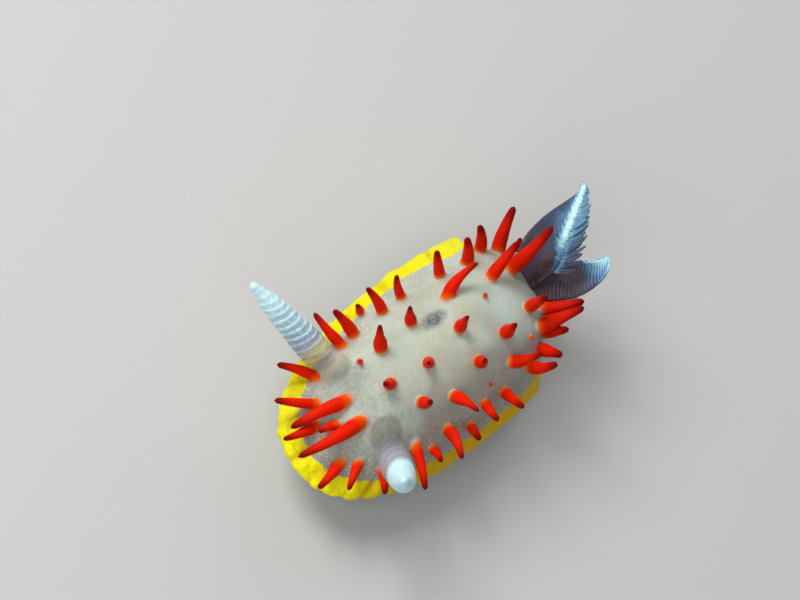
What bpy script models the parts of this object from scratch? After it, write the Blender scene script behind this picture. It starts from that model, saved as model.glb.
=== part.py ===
"""Diaphorodoris papillata, a small sea slug, as a still life-size model.

The animal crawls on a level floor. Its head points to -Y, its left side to +X and its back to +Z.
The origin is on the floor, under the middle of the back. Clock angles run round the mantle from the
front (0 degrees) over the animal's left (90) to the rear (180), and a share is how far out a point
lies between the middle of the back (0) and the mantle's outer edge (1).
"""

import math
import random

import bmesh
import bpy
from mathutils import Matrix, Vector

MM = 0.001
COLLECTION = "diaphorodoris"
GAP = 0.1 * MM
WELD = 0.001 * MM

# Mantle
MANTLE_HALF_WIDTH = 2.37 * MM
MANTLE_FRONT = 4.66 * MM
MANTLE_REAR = 4.15 * MM
FRONT_ROUNDNESS = 2.3
REAR_ROUNDNESS = 2.9
BACK_HEIGHT = 3.1 * MM
EDGE_HEIGHT = 1.4 * MM
REAR_DROP = 0.5 * MM
LEFT_DROP = 0.1 * MM
LEFT_REAR_DROP = 0.2 * MM
LEFT_REAR_START = 0.2
LEFT_REAR_SPAN = 0.5
EDGE_THICKNESS = 0.45 * MM
BAND_WIDTH = 0.5 * MM
BELLY_HEIGHT = 1.2 * MM
SKIRT_START = 0.62
SKIRT_RISE = 0.2
REAR_START = 0.1
LEFT_CORNER = 2.35 * MM
RIGHT_CORNER = 3.07 * MM
REAR_TAPER = 0.5
DOME_POWER = 2.1
DOME_FLARE = 1.35
REAR_DOME_POWER = 1.4
REAR_DOME_FLARE = 0.75
RIM_SHARE = 0.97
WAVES = 17
WAVE_DEPTH = 0.035 * MM
NORMAL_STEP = 0.01
MANTLE_COLUMNS = 60
TOP_SHARES = (0.1, 0.25, 0.4, 0.55, 0.68, 0.8, 0.9, 1.0)
UNDER_SHARES = (0.9, 0.75, 0.55, 0.3)
MARGINS = {
    "margin_front": (-52, 52),
    "margin_left": (52, 128),
    "margin_rear": (128, 232),
    "margin_right": (232, 308),
}
MARGIN_STEP = 6

# Foot, tail and head
FOOT_HALF_WIDTH = 1.45 * MM
FOOT_FRONT = 3.75 * MM
FOOT_BLUNTNESS = 0.8
TAIL_TAPER = 0.45
FOOT_COLUMNS = 32
TAIL_TIP = 4.5 * MM
FOOT_LEVELS = (
    # height, share of the half width, rear end
    (0.0, 0.95, 4.45 * MM),
    (0.12 * MM, 1.0, TAIL_TIP),
    (0.32 * MM, 0.9, 4.25 * MM),
    (0.6 * MM, 0.8, 3.55 * MM),
    (BELLY_HEIGHT - GAP, 0.86, 3.05 * MM),
)
TAIL_CUT = 3.0 * MM
HEAD_CUT = -2.75 * MM
HEAD_RADII = Vector((1.15, 1.05, 0.66)) * MM
HEAD_HEIGHT = 0.42 * MM
HEAD_FORWARD = 2.95 * MM
VEIL_ROOT = Vector((0.75, -3.2, 0.42)) * MM
VEIL_AIM = Vector((1.0, -0.12, -0.1))
VEIL_LENGTH = 0.85 * MM
VEIL_RADIUS = 0.27 * MM
VEIL_SECTIONS = (
    # share of the length, share of the radius
    (0.0, 1.0),
    (0.55, 0.95),
    (0.85, 0.72),
    (1.0, 0.36),
)
MOUTH_RADII = Vector((0.25, 0.28, 0.07)) * MM
MOUTH_PLACE = Vector((0, -3.98, 0.19)) * MM

# Papillae: where each one stands (clock angle, share), its length in mm, the compass bearing that it
# leans to (0 ahead, 90 to the animal's left) and how steeply it rises, all in degrees. All groups but
# the last are read off the photo. The last stands on the rear slope, which the photo doesn't show.
PAPILLAE = (
    # front rim
    (-45, 0.82, 1.15, -50, 7), (-27, 0.80, 1.15, -38, 7), (-13, 0.82, 1.05, -13, 9),
    (14, 0.84, 0.95, 9, 5), (24, 0.80, 0.90, 24, 14), (41, 0.81, 0.85, 42, 23),
    (-18, 0.65, 1.54, -12, -11), (2, 0.64, 1.79, -9, -11), (-6, 0.73, 0.60, -11, 15),
    # the animal's right side
    (-63, 0.77, 1.15, -80, 15), (-70, 0.75, 1.15, -63, 39), (-83, 0.87, 0.55, -41, 60),
    (-85, 0.71, 1.05, -68, 41), (-92, 0.71, 0.95, -73, 56), (-112, 0.67, 1.00, -80, 57),
    (-131, 0.69, 1.00, -85, 61), (-141, 0.80, 1.00, -85, 61),
    # the animal's left side
    (55, 0.70, 1.18, 60, 4), (67, 0.77, 0.70, 55, 45), (74, 0.68, 1.15, 57, 32),
    (87, 0.79, 0.80, 47, 48), (92, 0.69, 1.00, 52, 47), (101, 0.74, 1.10, 61, 52),
    (116, 0.57, 1.15, 129, 70), (120, 0.76, 1.10, 102, 70), (132, 0.78, 1.00, 74, 63),
    # middle of the back
    (-56, 0.49, 1.15, -74, 63), (-84, 0.44, 0.95, -60, 65), (-144, 0.12, 0.90, -67, 83),
    (-9, 0.40, 0.80, -11, 52), (0, 0.17, 0.80, 0, 61), (39, 0.40, 0.90, 30, 72),
    (75, 0.44, 1.15, 75, 51), (102, 0.32, 0.90, 10, 70), (148, 0.39, 1.00, -2, 82),
    (-48, 0.59, 0.45, -8, 67), (-162, 0.41, 0.35, -11, 69), (140, 0.62, 0.40, -1, 66),
    (97, 0.58, 0.40, 5, 64),
    # in front of the gills
    (-153, 0.84, 1.28, -139, 41), (-157, 0.56, 1.19, -161, 46), (-168, 0.71, 1.61, -172, 47),
    (-112, 0.44, 1.20, -167, 46), (168, 0.62, 1.10, 78, 87), (160, 0.77, 1.15, 142, 44),
    (148, 0.70, 1.28, 159, 45), (142, 0.80, 1.00, 101, 71),
    # rear slope
    (162, 0.87, 0.60, 150, 14), (178, 0.88, 0.60, 180, 14), (-163, 0.87, 0.60, -150, 14),
)
PAPILLA_ROOT_RADIUS = 0.25 * MM
PAPILLA_KNEE_RADIUS = 0.215 * MM
PAPILLA_TIP_RADIUS = 0.08 * MM
PAPILLA_KNEE = 0.4
PAPILLA_BEND = 0.6
PAPILLA_SUNK = 0.3 * MM
PAPILLA_VARIES = 0.08
PAPILLA_SEED = 7
SMALL_PAPILLA = 0.65 * MM
SMALL_PAPILLA_SIZE = 0.7

# Rhinophores: base on the back, where the tip is from there and how far the middle is bent
RHINOPHORES = {
    "rhinophore_right": (Vector((-1.42, -2.42)) * MM, Vector((-2.84, -1.14, 1.55)) * MM, Vector((0, 0, 0))),
    "rhinophore_left": (
        Vector((0.87, -2.67)) * MM, Vector((1.08, -1.79, 2.6)) * MM, Vector((0.25, 0, -0.13)) * MM,
    ),
}
RHINOPHORE_RADIUS = 0.37 * MM
RHINOPHORE_SWELL = 0.06 * MM
SWELL_SHARE = 0.3
RHINOPHORE_TAPER = 0.6
POINT_TAPER = 0.4
POINT_START = 0.72
RHINOPHORE_SUNK = 0.3 * MM
RHINOPHORE_SIDES = 12
STALK_SHARE = 0.12
CLUB_END_SHARE = 0.94
CLUB_POWER = 1.6
TIP_SHARE = 0.985
TIP_ROUNDNESS = 0.62
GROOVE_PLACE = 0.75
LAMELLAE = 10
LAMELLA_DEPTH = 0.12
LAMELLA_SLANT = 0.32
SLANT_FADE = 0.3

# Gills: a rosette of feathery leaves in a pit on the rear slope
GILL_PIT = Vector((0.05, 3.12, 2.42)) * MM
GILL_PIT_AXIS = Vector((0.0, 0.68, 0.73)).normalized()
GILL_PIT_RADIUS = 0.68 * MM
GILL_PIT_DEPTH = 0.3 * MM
GILL_RING_RADIUS = 0.4 * MM
GILL_ROOT_RADIUS = 0.18 * MM
GILL_TIP_RADIUS = 0.08 * MM
GILL_POINTS = 6
PINNA_RADII = (0.14 * MM, 0.105 * MM, 0.05 * MM)
PINNA_ANGLE = 52
PINNA_FIRST = 0.36
PINNA_LAST = 0.9
PINNA_CURL = 0.05
LEAF_FACING = Vector((0, -0.5, 0.87))
LEAF_SPAN = (0.3, 0.93)
LEAF_RISE = 0.5 * MM
LEAF_POINTS = 11
WEB_THICKNESS = 0.1 * MM

# The two large leaves, which lie nearly flat to a slanting plane. Their points are in mm: x, how far up
# the plane and how far in front of it.
PLANE_UP = Vector((0, 0.875, 0.485))
PLANE_FRONT = Vector((0, -0.485, 0.875))
PLANE_HEIGHT = 1.35
LARGE_LEAVES = (
    # angle of the root round the pit from the animal's left, midrib, free edge, the side of the midrib
    # with side filaments, how far they reach in mm and how many they are
    (
        "gill_1", 128,
        ((0.07, 4.09, -0.48), (-0.28, 4.65, -0.42), (-0.81, 5.58, -0.34), (-1.057, 5.94, -0.32)),
        ((-0.45, 3.5, -0.45), (-0.96, 3.94, -0.66), (-1.07, 4.65, -0.56), (-1.04, 5.38, -0.42), (-1.04, 5.85, -0.36)),
        1, 0.5, 8,
    ),
    (
        "gill_2", 48,
        ((1.02, 4.12, -0.78), (1.07, 4.75, -0.75), (0.93, 5.13, -0.68), (0.735, 5.28, -0.64)),
        ((0.12, 3.75, -0.3), (0.18, 4.25, -0.75), (0.4, 4.6, -0.77), (0.62, 4.97, -0.7), (0.70, 5.22, -0.65)),
        -1, 0.3, 4,
    ),
)
SMALL_LEAVES = (
    # angle of the root round the pit, where the tip is from the pit's middle, how far the leaf rises
    # before it bends that way, half its width in mm, its pairs of side filaments and the turn of its face
    ("gill_3", -90, Vector((0.1, 1.45, -0.55)), 0.45, 0.35, 3, 0),
    ("gill_4", -18, Vector((1.0, 1.2, -0.45)), 0.45, 0.35, 3, 20),
    ("gill_5", 198, Vector((-0.95, 1.35, -0.3)), 0.45, 0.35, 3, -20),
)


def ease(x):
    x = min(max(x, 0.0), 1.0)
    return x * x * (3 - 2 * x)


def mix(a, b, share):
    return a + (b - a) * share


def signed_power(x, power):
    return math.copysign(abs(x) ** power, x)


def rearness(clock):
    """0 over the front half and the sides, 1 at the rear."""
    return ease((-math.cos(clock) - REAR_START) / (1 - REAR_START))


def edge(clock):
    """The mantle's outer edge in plan, a long oval that is blunter behind, without its small waves."""
    ahead = math.cos(clock)
    power = 2 / (FRONT_ROUNDNESS if ahead > 0 else REAR_ROUNDNESS)
    reach = MANTLE_FRONT if ahead > 0 else MANTLE_REAR
    return Vector((
        MANTLE_HALF_WIDTH * signed_power(math.sin(clock), power),
        -reach * signed_power(ahead, power),
    ))


def skin_height(clock, share):
    """Height of the back: a dome that flattens to the margin, and drops steeply at the rear."""
    rear = rearness(clock)
    left = max(math.sin(clock), 0)
    left_rear = ease((-math.cos(clock) - LEFT_REAR_START) / LEFT_REAR_SPAN)
    rim = EDGE_HEIGHT - REAR_DROP * rear - left * (LEFT_DROP + LEFT_REAR_DROP * left_rear)
    power = DOME_POWER + REAR_DOME_POWER * rear
    flare = mix(DOME_FLARE, REAR_DOME_FLARE, rear)
    return rim + (BACK_HEIGHT - rim) * (1 - min(share, 1) ** power) ** flare


def rear_width(x, y):
    """Behind a corner on each side the mantle narrows, to this share of its width at a place in plan."""
    corner = LEFT_CORNER if x > 0 else RIGHT_CORNER
    return 1 - REAR_TAPER * max(0, (y - corner) / (MANTLE_REAR - corner))


def skin(clock, share):
    flat = edge(clock) * share
    return Vector((flat.x * rear_width(*flat), flat.y, skin_height(clock, share)))


def skin_normal(clock, share):
    step = NORMAL_STEP
    share = min(max(share, 2 * step), 1 - 2 * step)
    across = skin(clock + step, share) - skin(clock - step, share)
    outward = skin(clock, share + step) - skin(clock, share - step)
    normal = across.cross(outward).normalized()
    return normal if normal.z > 0 else -normal


def skin_over(point):
    """Clock angle and share of the point of the back that lies above or below a point in plan."""
    ahead = point.y < 0
    power = (FRONT_ROUNDNESS if ahead else REAR_ROUNDNESS) / 2
    reach = MANTLE_FRONT if ahead else MANTLE_REAR
    clock = math.atan2(
        signed_power(point.x / MANTLE_HALF_WIDTH, power),
        signed_power(-point.y / reach, power),
    )
    return clock, min(point.length / edge(clock).length, 1)


def band_share(clock):
    """Share at which the yellow margin starts: it has the same width all round."""
    return 1 - BAND_WIDTH / edge(clock).length


def underside_height(clock, share):
    """The mantle is a flat skirt near its edge and reaches down to the foot further in."""
    skirt = skin_height(clock, share) - EDGE_THICKNESS
    return mix(BELLY_HEIGHT, skirt, ease((share - SKIRT_START) / SKIRT_RISE))


def as_object(name, bm):
    """Turns a bmesh into a mesh object with its faces turned out."""
    bmesh.ops.recalc_face_normals(bm, faces=bm.faces)
    mesh = bpy.data.meshes.new(name)
    bm.to_mesh(mesh)
    bm.free()
    return bpy.data.objects.new(name, mesh)


def meshed(guide):
    """Replaces a curve, or a mesh with modifiers, by the closed mesh that it stands for."""
    name = guide.name
    bpy.context.scene.collection.objects.link(guide)
    graph = bpy.context.evaluated_depsgraph_get()
    bm = bmesh.new()
    bm.from_mesh(bpy.data.meshes.new_from_object(guide.evaluated_get(graph)))
    bpy.data.objects.remove(guide)
    bmesh.ops.remove_doubles(bm, verts=bm.verts, dist=WELD)
    return as_object(name, bm)


def loft(name, rings):
    """A closed body through rings that have as many points each, with a flat face at both ends."""
    bm = bmesh.new()
    rows = [[bm.verts.new(point) for point in ring] for ring in rings]
    for row, following in zip(rows, rows[1:]):
        for i in range(len(row)):
            j = (i + 1) % len(row)
            bm.faces.new((row[i], row[j], following[j], following[i]))
    bm.faces.new(rows[0])
    bm.faces.new(rows[-1])
    return as_object(name, bm)


def sphere(name, radii, centre, segments=24, rings=12):
    bm = bmesh.new()
    bmesh.ops.create_uvsphere(bm, u_segments=segments, v_segments=rings, radius=1.0)
    bmesh.ops.scale(bm, vec=radii, verts=bm.verts)
    bmesh.ops.translate(bm, vec=centre, verts=bm.verts)
    return as_object(name, bm)


def cylinder(name, radius, start, end, sides=20):
    """A cylinder between two points."""
    axis = end - start
    bm = bmesh.new()
    bmesh.ops.create_cone(
        bm, cap_ends=True, segments=sides, radius1=radius, radius2=radius, depth=axis.length
    )
    turn = axis.to_track_quat("Z", "Y").to_matrix().to_4x4()
    bmesh.ops.transform(bm, matrix=Matrix.Translation((start + end) / 2) @ turn, verts=bm.verts)
    return as_object(name, bm)


def tube(name, points, radii, resolution=1):
    """A tapered tube along points, made from a bevelled curve, as a closed mesh object."""
    curve = bpy.data.curves.new(name, "CURVE")
    curve.dimensions = "3D"
    curve.bevel_depth = 1.0
    curve.bevel_resolution = resolution
    curve.use_fill_caps = True
    spline = curve.splines.new("POLY")
    spline.points.add(len(points) - 1)
    for knot, point, radius in zip(spline.points, points, radii):
        knot.co = (*point, 1)
        knot.radius = radius
    return meshed(bpy.data.objects.new(name, curve))


def combine(body, pieces, operation):
    """Joins pieces to a body, or cuts them from it, and removes them."""
    scene = bpy.context.scene.collection
    tools = bpy.data.collections.new(body.name + "_pieces")
    scene.children.link(tools)
    for piece in pieces:
        tools.objects.link(piece)
    if body.name not in scene.objects:
        scene.objects.link(body)
    modifier = body.modifiers.new(operation.lower(), "BOOLEAN")
    modifier.operation = operation
    modifier.solver = "EXACT"
    modifier.operand_type = "COLLECTION"
    modifier.collection = tools
    graph = bpy.context.evaluated_depsgraph_get()
    mesh = bpy.data.meshes.new_from_object(body.evaluated_get(graph))
    body.modifiers.clear()
    body.data = mesh
    scene.objects.unlink(body)
    for piece in pieces:
        bpy.data.objects.remove(piece)
    bpy.data.collections.remove(tools)


def keep_largest(body):
    """Drops every closed surface but the largest, so that no scrap or sealed hollow is left."""
    bm = bmesh.new()
    bm.from_mesh(body.data)
    bm.verts.ensure_lookup_table()
    seen = set()
    shells = []
    for start in bm.verts:
        if start in seen:
            continue
        shell, todo = set(), [start]
        while todo:
            vertex = todo.pop()
            if vertex in shell:
                continue
            shell.add(vertex)
            todo.extend(edge_.other_vert(vertex) for edge_ in vertex.link_edges)
        seen |= shell
        shells.append(shell)
    largest = max(shells, key=len)
    bmesh.ops.delete(bm, geom=[v for v in bm.verts if v not in largest], context="VERTS")
    bm.to_mesh(body.data)
    bm.free()


def halve(body, name, origin, normal):
    """Copies a body and keeps what lies on the far side of a plane from its normal, closed again."""
    bm = bmesh.new()
    bm.from_mesh(body.data)
    geometry = [*bm.verts, *bm.edges, *bm.faces]
    cut = bmesh.ops.bisect_plane(bm, geom=geometry, plane_co=origin, plane_no=normal, clear_outer=True)
    edges = [item for item in cut["geom_cut"] if isinstance(item, bmesh.types.BMEdge)]
    bmesh.ops.edgenet_fill(bm, edges=edges)
    return as_object(name, bm)


def material(name, colour, roughness):
    made = bpy.data.materials.new(name)
    made.use_nodes = True
    shader = made.node_tree.nodes["Principled BSDF"]
    shader.inputs["Base Color"].default_value = (*colour, 1)
    shader.inputs["Roughness"].default_value = roughness
    shader.inputs["Metallic"].default_value = 0
    made.diffuse_color = (*colour, 1)
    return made


def finish(body, collection, look):
    """Puts a finished node into the object's collection with its own material."""
    body.data.materials.clear()
    body.data.materials.append(material(body.name, *look))
    body.data.shade_smooth()
    body.data.set_sharp_from_angle(angle=math.radians(40))
    collection.objects.link(body)


def columns(count):
    return [math.tau * i / count for i in range(count)]


def back_body():
    """The mantle inside its yellow margin, from the back down to the belly, without papillae."""
    rings = []
    for part in TOP_SHARES:
        rings.append([skin(a, part * inner_share(a)) for a in columns(MANTLE_COLUMNS)])
    for part in (1.0, *UNDER_SHARES):
        ring = []
        for a in columns(MANTLE_COLUMNS):
            share = part * inner_share(a)
            point = skin(a, share)
            point.z = underside_height(a, share)
            ring.append(point)
        rings.append(ring)
    return loft("mantle", rings)


def inner_share(clock):
    return band_share(clock) - GAP / 2 / edge(clock).length


def direction(bearing, rise):
    """Unit vector to a compass bearing (0 ahead, 90 to the animal's left), rising above the level."""
    bearing, rise = math.radians(bearing), math.radians(rise)
    level = math.cos(rise)
    return Vector((level * math.sin(bearing), -level * math.cos(bearing), math.sin(rise)))


def papilla(clock, share, length, heading, size):
    """A bent, tapered finger with its root sunk in the back, clear of the yellow margin."""
    outermost = inner_share(clock) - (PAPILLA_ROOT_RADIUS + GAP) / edge(clock).length
    share = min(share, outermost)
    base = skin(clock, share)
    start = heading.lerp(skin_normal(clock, share), PAPILLA_BEND).normalized()
    points = (
        base - start * PAPILLA_SUNK,
        base + start * length * PAPILLA_KNEE,
        base + heading * length,
    )
    radii = (PAPILLA_ROOT_RADIUS, PAPILLA_KNEE_RADIUS, PAPILLA_TIP_RADIUS)
    return tube("papilla", points, [radius * size for radius in radii])


def papillae():
    """All papillae, each a little thicker or thinner than the next."""
    draw = random.Random(PAPILLA_SEED)
    made = []
    for clock, share, length, bearing, rise in PAPILLAE:
        size = draw.uniform(1 - PAPILLA_VARIES, 1 + PAPILLA_VARIES)
        if length * MM < SMALL_PAPILLA:
            size *= SMALL_PAPILLA_SIZE
        made.append(papilla(math.radians(clock), share, length * MM, direction(bearing, rise), size))
    return made


def rhinophore_frame(name):
    """Where a rhinophore leaves the back, the direction that it points in and its length."""
    flat, aim, _ = RHINOPHORES[name]
    clock, share = skin_over(flat)
    return skin(clock, share), aim.normalized(), aim.length


def rhinophore_sockets():
    made = []
    for name in RHINOPHORES:
        base, aim, _ = rhinophore_frame(name)
        made.append(cylinder(
            "socket", RHINOPHORE_RADIUS + GAP, base - aim * (RHINOPHORE_SUNK + GAP), base + aim * MANTLE_HALF_WIDTH
        ))
    return made


def gill_pit():
    """A shallow round pit, open to the outside."""
    floor = GILL_PIT - GILL_PIT_AXIS * GILL_PIT_DEPTH
    return cylinder("pit", GILL_PIT_RADIUS, floor, GILL_PIT + GILL_PIT_AXIS * MANTLE_HALF_WIDTH)


def mantle():
    body = back_body()
    combine(body, papillae(), "UNION")
    combine(body, [*rhinophore_sockets(), gill_pit()], "DIFFERENCE")
    keep_largest(body)
    return body


def margin_section(clock):
    """Six points round the yellow margin's section at a clock angle, with its wavy rounded edge."""
    outer = 1 + WAVE_DEPTH * math.sin(WAVES * clock) / edge(clock).length
    inner = band_share(clock) + GAP / 2 / edge(clock).length
    top = skin(clock, inner)
    middle = skin(clock, (inner + 1) / 2)
    rim = skin(clock, RIM_SHARE * outer)
    lip = skin(clock, outer)
    under = Vector((0, 0, EDGE_THICKNESS))
    return top, middle, rim, lip - under / 2, rim - under, top - under


def margin(name):
    first, last = (math.radians(angle) for angle in MARGINS[name])
    start = first + GAP / 2 / edge(first).length
    end = last - GAP / 2 / edge(last).length
    steps = round(math.degrees(last - first) / MARGIN_STEP)
    clocks = [mix(start, end, i / steps) for i in range(steps + 1)]
    return loft(name, [margin_section(clock) for clock in clocks])


def foot_outline(height, width, rear):
    """A level outline of the foot: round in front, drawn out to a point behind."""
    ring = []
    for clock in columns(FOOT_COLUMNS):
        ahead = math.cos(clock)
        if ahead > 0:
            y = -FOOT_FRONT * ahead ** FOOT_BLUNTNESS
            x = math.sin(clock)
        else:
            y = rear * -ahead
            x = math.sin(clock) * (1 - TAIL_TAPER * ease(-ahead))
        ring.append(Vector((x * width * FOOT_HALF_WIDTH, y, height)))
    return ring


def foot_and_tail():
    """One long foot, cut off square behind the head and parted from its tail by a thin gap."""
    whole = loft("whole", [foot_outline(*level) for level in FOOT_LEVELS])
    cut_front = Vector((0, HEAD_CUT + GAP / 2, 0))
    cut_rear = Vector((0, TAIL_CUT - GAP / 2, 0))
    behind_head = halve(whole, "behind_head", cut_front, Vector((0, -1, 0)))
    foot = halve(behind_head, "foot", cut_rear, Vector((0, 1, 0)))
    tail = halve(whole, "tail", cut_rear + Vector((0, GAP, 0)), Vector((0, -1, 0)))
    bpy.data.objects.remove(whole)
    bpy.data.objects.remove(behind_head)
    return foot, tail


def veil_lobe(side):
    """A corner of the oral veil, a short blunt feeler beside the mouth."""
    root = Vector((side * VEIL_ROOT.x, VEIL_ROOT.y, VEIL_ROOT.z))
    aim = Vector((side * VEIL_AIM.x, VEIL_AIM.y, VEIL_AIM.z)).normalized()
    points = [root + aim * VEIL_LENGTH * along for along, _ in VEIL_SECTIONS]
    radii = [VEIL_RADIUS * thick for _, thick in VEIL_SECTIONS]
    return tube("veil", points, radii, 2)


def head():
    """A broad snout with the two corners of the oral veil and the line of the mouth."""
    snout = sphere("snout", HEAD_RADII, Vector((0, -HEAD_FORWARD, HEAD_HEIGHT)))
    combine(snout, [veil_lobe(side) for side in (-1, 1)], "UNION")
    slot = sphere("mouth", MOUTH_RADII, MOUTH_PLACE, 12, 6)
    combine(snout, [slot], "DIFFERENCE")
    before_foot = halve(snout, "before_foot", Vector((0, HEAD_CUT - GAP / 2, 0)), Vector((0, 1, 0)))
    made = halve(before_foot, "head", Vector((0, 0, 0)), Vector((0, 0, -1)))
    bpy.data.objects.remove(snout)
    bpy.data.objects.remove(before_foot)
    return made


def club_radius(share):
    """Radius of a rhinophore at a share of its length, before its rings."""
    widest = RHINOPHORE_RADIUS + RHINOPHORE_SWELL * ease(share / SWELL_SHARE)
    point = 1 - POINT_TAPER * ease((share - POINT_START) / (1 - POINT_START))
    return widest * (1 - RHINOPHORE_TAPER * share ** CLUB_POWER) * point


def rhinophore_profile(length):
    """Radii and heights from the tip down: a round tip, slanting rings and a smooth stalk."""
    step = (CLUB_END_SHARE - STALK_SHARE) / LAMELLAE
    profile = [(0.0, length)]
    profile.append((club_radius(1) * TIP_ROUNDNESS, TIP_SHARE * length))
    for ring in range(LAMELLAE):
        crest = CLUB_END_SHARE - ring * step
        groove = crest - GROOVE_PLACE * step
        profile.append((club_radius(crest), crest * length))
        profile.append((club_radius(groove) * (1 - LAMELLA_DEPTH), groove * length))
    profile.append((RHINOPHORE_RADIUS, STALK_SHARE / 2 * length))
    profile.append((RHINOPHORE_RADIUS, -RHINOPHORE_SUNK))
    profile.append((0.0, -RHINOPHORE_SUNK))
    return profile


def turned(name, profile, sides):
    """A closed body turned from a profile about Z."""
    mesh = bpy.data.meshes.new(name)
    edges = [(i, i + 1) for i in range(len(profile) - 1)]
    mesh.from_pydata([(radius, 0, height) for radius, height in profile], edges, [])
    guide = bpy.data.objects.new(name, mesh)
    screw = guide.modifiers.new("turn", "SCREW")
    screw.steps = screw.render_steps = sides
    screw.use_merge_vertices = True
    screw.merge_threshold = WELD
    return meshed(guide)


def rhinophore(name):
    """A stalk and a bent club with slanting rings, which are lower on the side that faces the head."""
    base, aim, length = rhinophore_frame(name)
    bend = RHINOPHORES[name][2]
    turn = aim.to_track_quat("Z", "Y").to_matrix()
    body = turned(name, rhinophore_profile(length), RHINOPHORE_SIDES)
    for vertex in body.data.vertices:
        along = vertex.co.z / length
        slant = LAMELLA_SLANT * ease(along / SLANT_FADE) * ease((1 - along) / SLANT_FADE)
        vertex.co.z += slant * vertex.co.y
        along = min(max(along, 0.0), 1.0)
        vertex.co = base + turn @ vertex.co + bend * 4 * along * (1 - along)
    return body


def gill_root(angle):
    """The foot of a leaf in the pit, and the middle of its root just above the pit's floor."""
    left = Vector((1, 0, 0))
    up = left.cross(GILL_PIT_AXIS)
    angle = math.radians(angle)
    foot = GILL_PIT + (left * math.cos(angle) + up * math.sin(angle)) * GILL_RING_RADIUS
    return foot, foot - GILL_PIT_AXIS * (GILL_PIT_DEPTH - GAP)


def gill_path(angle, tip, rise):
    """Points along a leaf: up out of the pit, then over to its tip."""
    foot, root = gill_root(angle)
    knee = foot + GILL_PIT_AXIS * rise * MM
    end = GILL_PIT + tip * MM
    path = []
    for i in range(GILL_POINTS):
        t = i / (GILL_POINTS - 1)
        path.append(root * (1 - t) ** 2 + knee * 2 * t * (1 - t) + end * t ** 2)
    return path


def in_plane(knots):
    """Points of the slanting plane as points of the frame."""
    return [(Vector((x, 0, PLANE_HEIGHT)) + PLANE_UP * up + PLANE_FRONT * front) * MM for x, up, front in knots]


def curve_through(knots, count):
    """Points on a smooth curve through a few knots."""
    ends = [2 * knots[0] - knots[1], *knots, 2 * knots[-1] - knots[-2]]
    points = []
    for i in range(count):
        place = i / (count - 1) * (len(knots) - 1)
        first = min(int(place), len(knots) - 2)
        t = place - first
        a, b, c, d = ends[first:first + 4]
        square = 2 * a - 5 * b + 4 * c - d
        points.append((2 * b + (c - a) * t + square * t ** 2 + (3 * b - a - 3 * c + d) * t ** 3) / 2)
    return points


def web(inner, outer):
    """A thin plate between two curves."""
    rings = []
    for i, (near, far) in enumerate(zip(inner, outer)):
        along = inner[min(i + 1, len(inner) - 1)] - inner[max(i - 1, 0)]
        half = (far - near).cross(along).normalized() * WEB_THICKNESS / 2
        rings.append((near + half, far + half, far - half, near - half))
    return loft("web", rings)


def along_path(path, share):
    """Point and direction at a share of the way along a path."""
    place = min(share, 0.999) * (len(path) - 1)
    first = int(place)
    step = path[first + 1] - path[first]
    return path[first] + step * (place - first), step.normalized()


def pinna(path, share, side, half_width, twist):
    """A side filament of a gill leaf, slanting towards its tip."""
    point, tangent = along_path(path, share)
    facing = (LEAF_FACING - LEAF_FACING.dot(tangent) * tangent).normalized()
    facing.rotate(Matrix.Rotation(math.radians(twist), 3, tangent))
    across = tangent.cross(facing) * side
    angle = math.radians(PINNA_ANGLE)
    heading = tangent * math.cos(angle) + across * math.sin(angle)
    reach = half_width * MM / math.sin(angle) * math.sin(math.pi * mix(*LEAF_SPAN, share))
    tip = point + heading * reach
    middle = (point + tip) / 2 - tangent * reach * PINNA_CURL
    return tube("pinna", (point, middle, tip), PINNA_RADII, 0)


def midrib(name, path):
    last = len(path) - 1
    radii = [mix(GILL_ROOT_RADIUS, GILL_TIP_RADIUS, i / last) for i in range(last + 1)]
    return tube(name, path, radii, 1)


def small_gill(name, angle, tip, rise, half_width, pairs, twist):
    """A feathery leaf: a midrib with pairs of side filaments."""
    path = gill_path(angle, tip, rise)
    body = midrib(name, path)
    filaments = []
    for pair in range(pairs):
        share = mix(PINNA_FIRST, PINNA_LAST, pair / (pairs - 1))
        for side in (-1, 1):
            filaments.append(pinna(path, share, side, half_width, twist))
    combine(body, filaments, "UNION")
    keep_largest(body)
    return body


def large_gill(name, angle, rib, free_edge, side, half_width, count):
    """A midrib with a web on one side and side filaments."""
    foot, root = gill_root(angle)
    path = curve_through([foot + GILL_PIT_AXIS * LEAF_RISE, *in_plane(rib)], LEAF_POINTS)
    body = midrib(name, [root, *path])
    pieces = [web(path, curve_through(in_plane(free_edge), LEAF_POINTS))]
    for i in range(count):
        share = mix(PINNA_FIRST, PINNA_LAST, i / (count - 1))
        pieces.append(pinna(path, share, side, half_width, 0))
    combine(body, pieces, "UNION")
    keep_largest(body)
    return body


SKIN_LOOK = ((0.62, 0.66, 0.6), 0.35)
MARGIN_LOOK = ((0.95, 0.8, 0.02), 0.35)
FOOT_LOOK = ((0.75, 0.76, 0.7), 0.4)
RHINOPHORE_LOOK = ((0.78, 0.86, 0.9), 0.35)
GILL_LOOK = ((0.5, 0.66, 0.8), 0.35)


def main():
    for old in list(bpy.data.objects):
        bpy.data.objects.remove(old)
    model = bpy.data.collections.new(COLLECTION)
    bpy.context.scene.collection.children.link(model)
    finish(mantle(), model, SKIN_LOOK)
    for name in MARGINS:
        finish(margin(name), model, MARGIN_LOOK)
    for body in (*foot_and_tail(), head()):
        finish(body, model, FOOT_LOOK)
    for name in RHINOPHORES:
        finish(rhinophore(name), model, RHINOPHORE_LOOK)
    for name, *shape in LARGE_LEAVES:
        finish(large_gill(name, *shape), model, GILL_LOOK)
    for name, *shape in SMALL_LEAVES:
        finish(small_gill(name, *shape), model, GILL_LOOK)


main()
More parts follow.
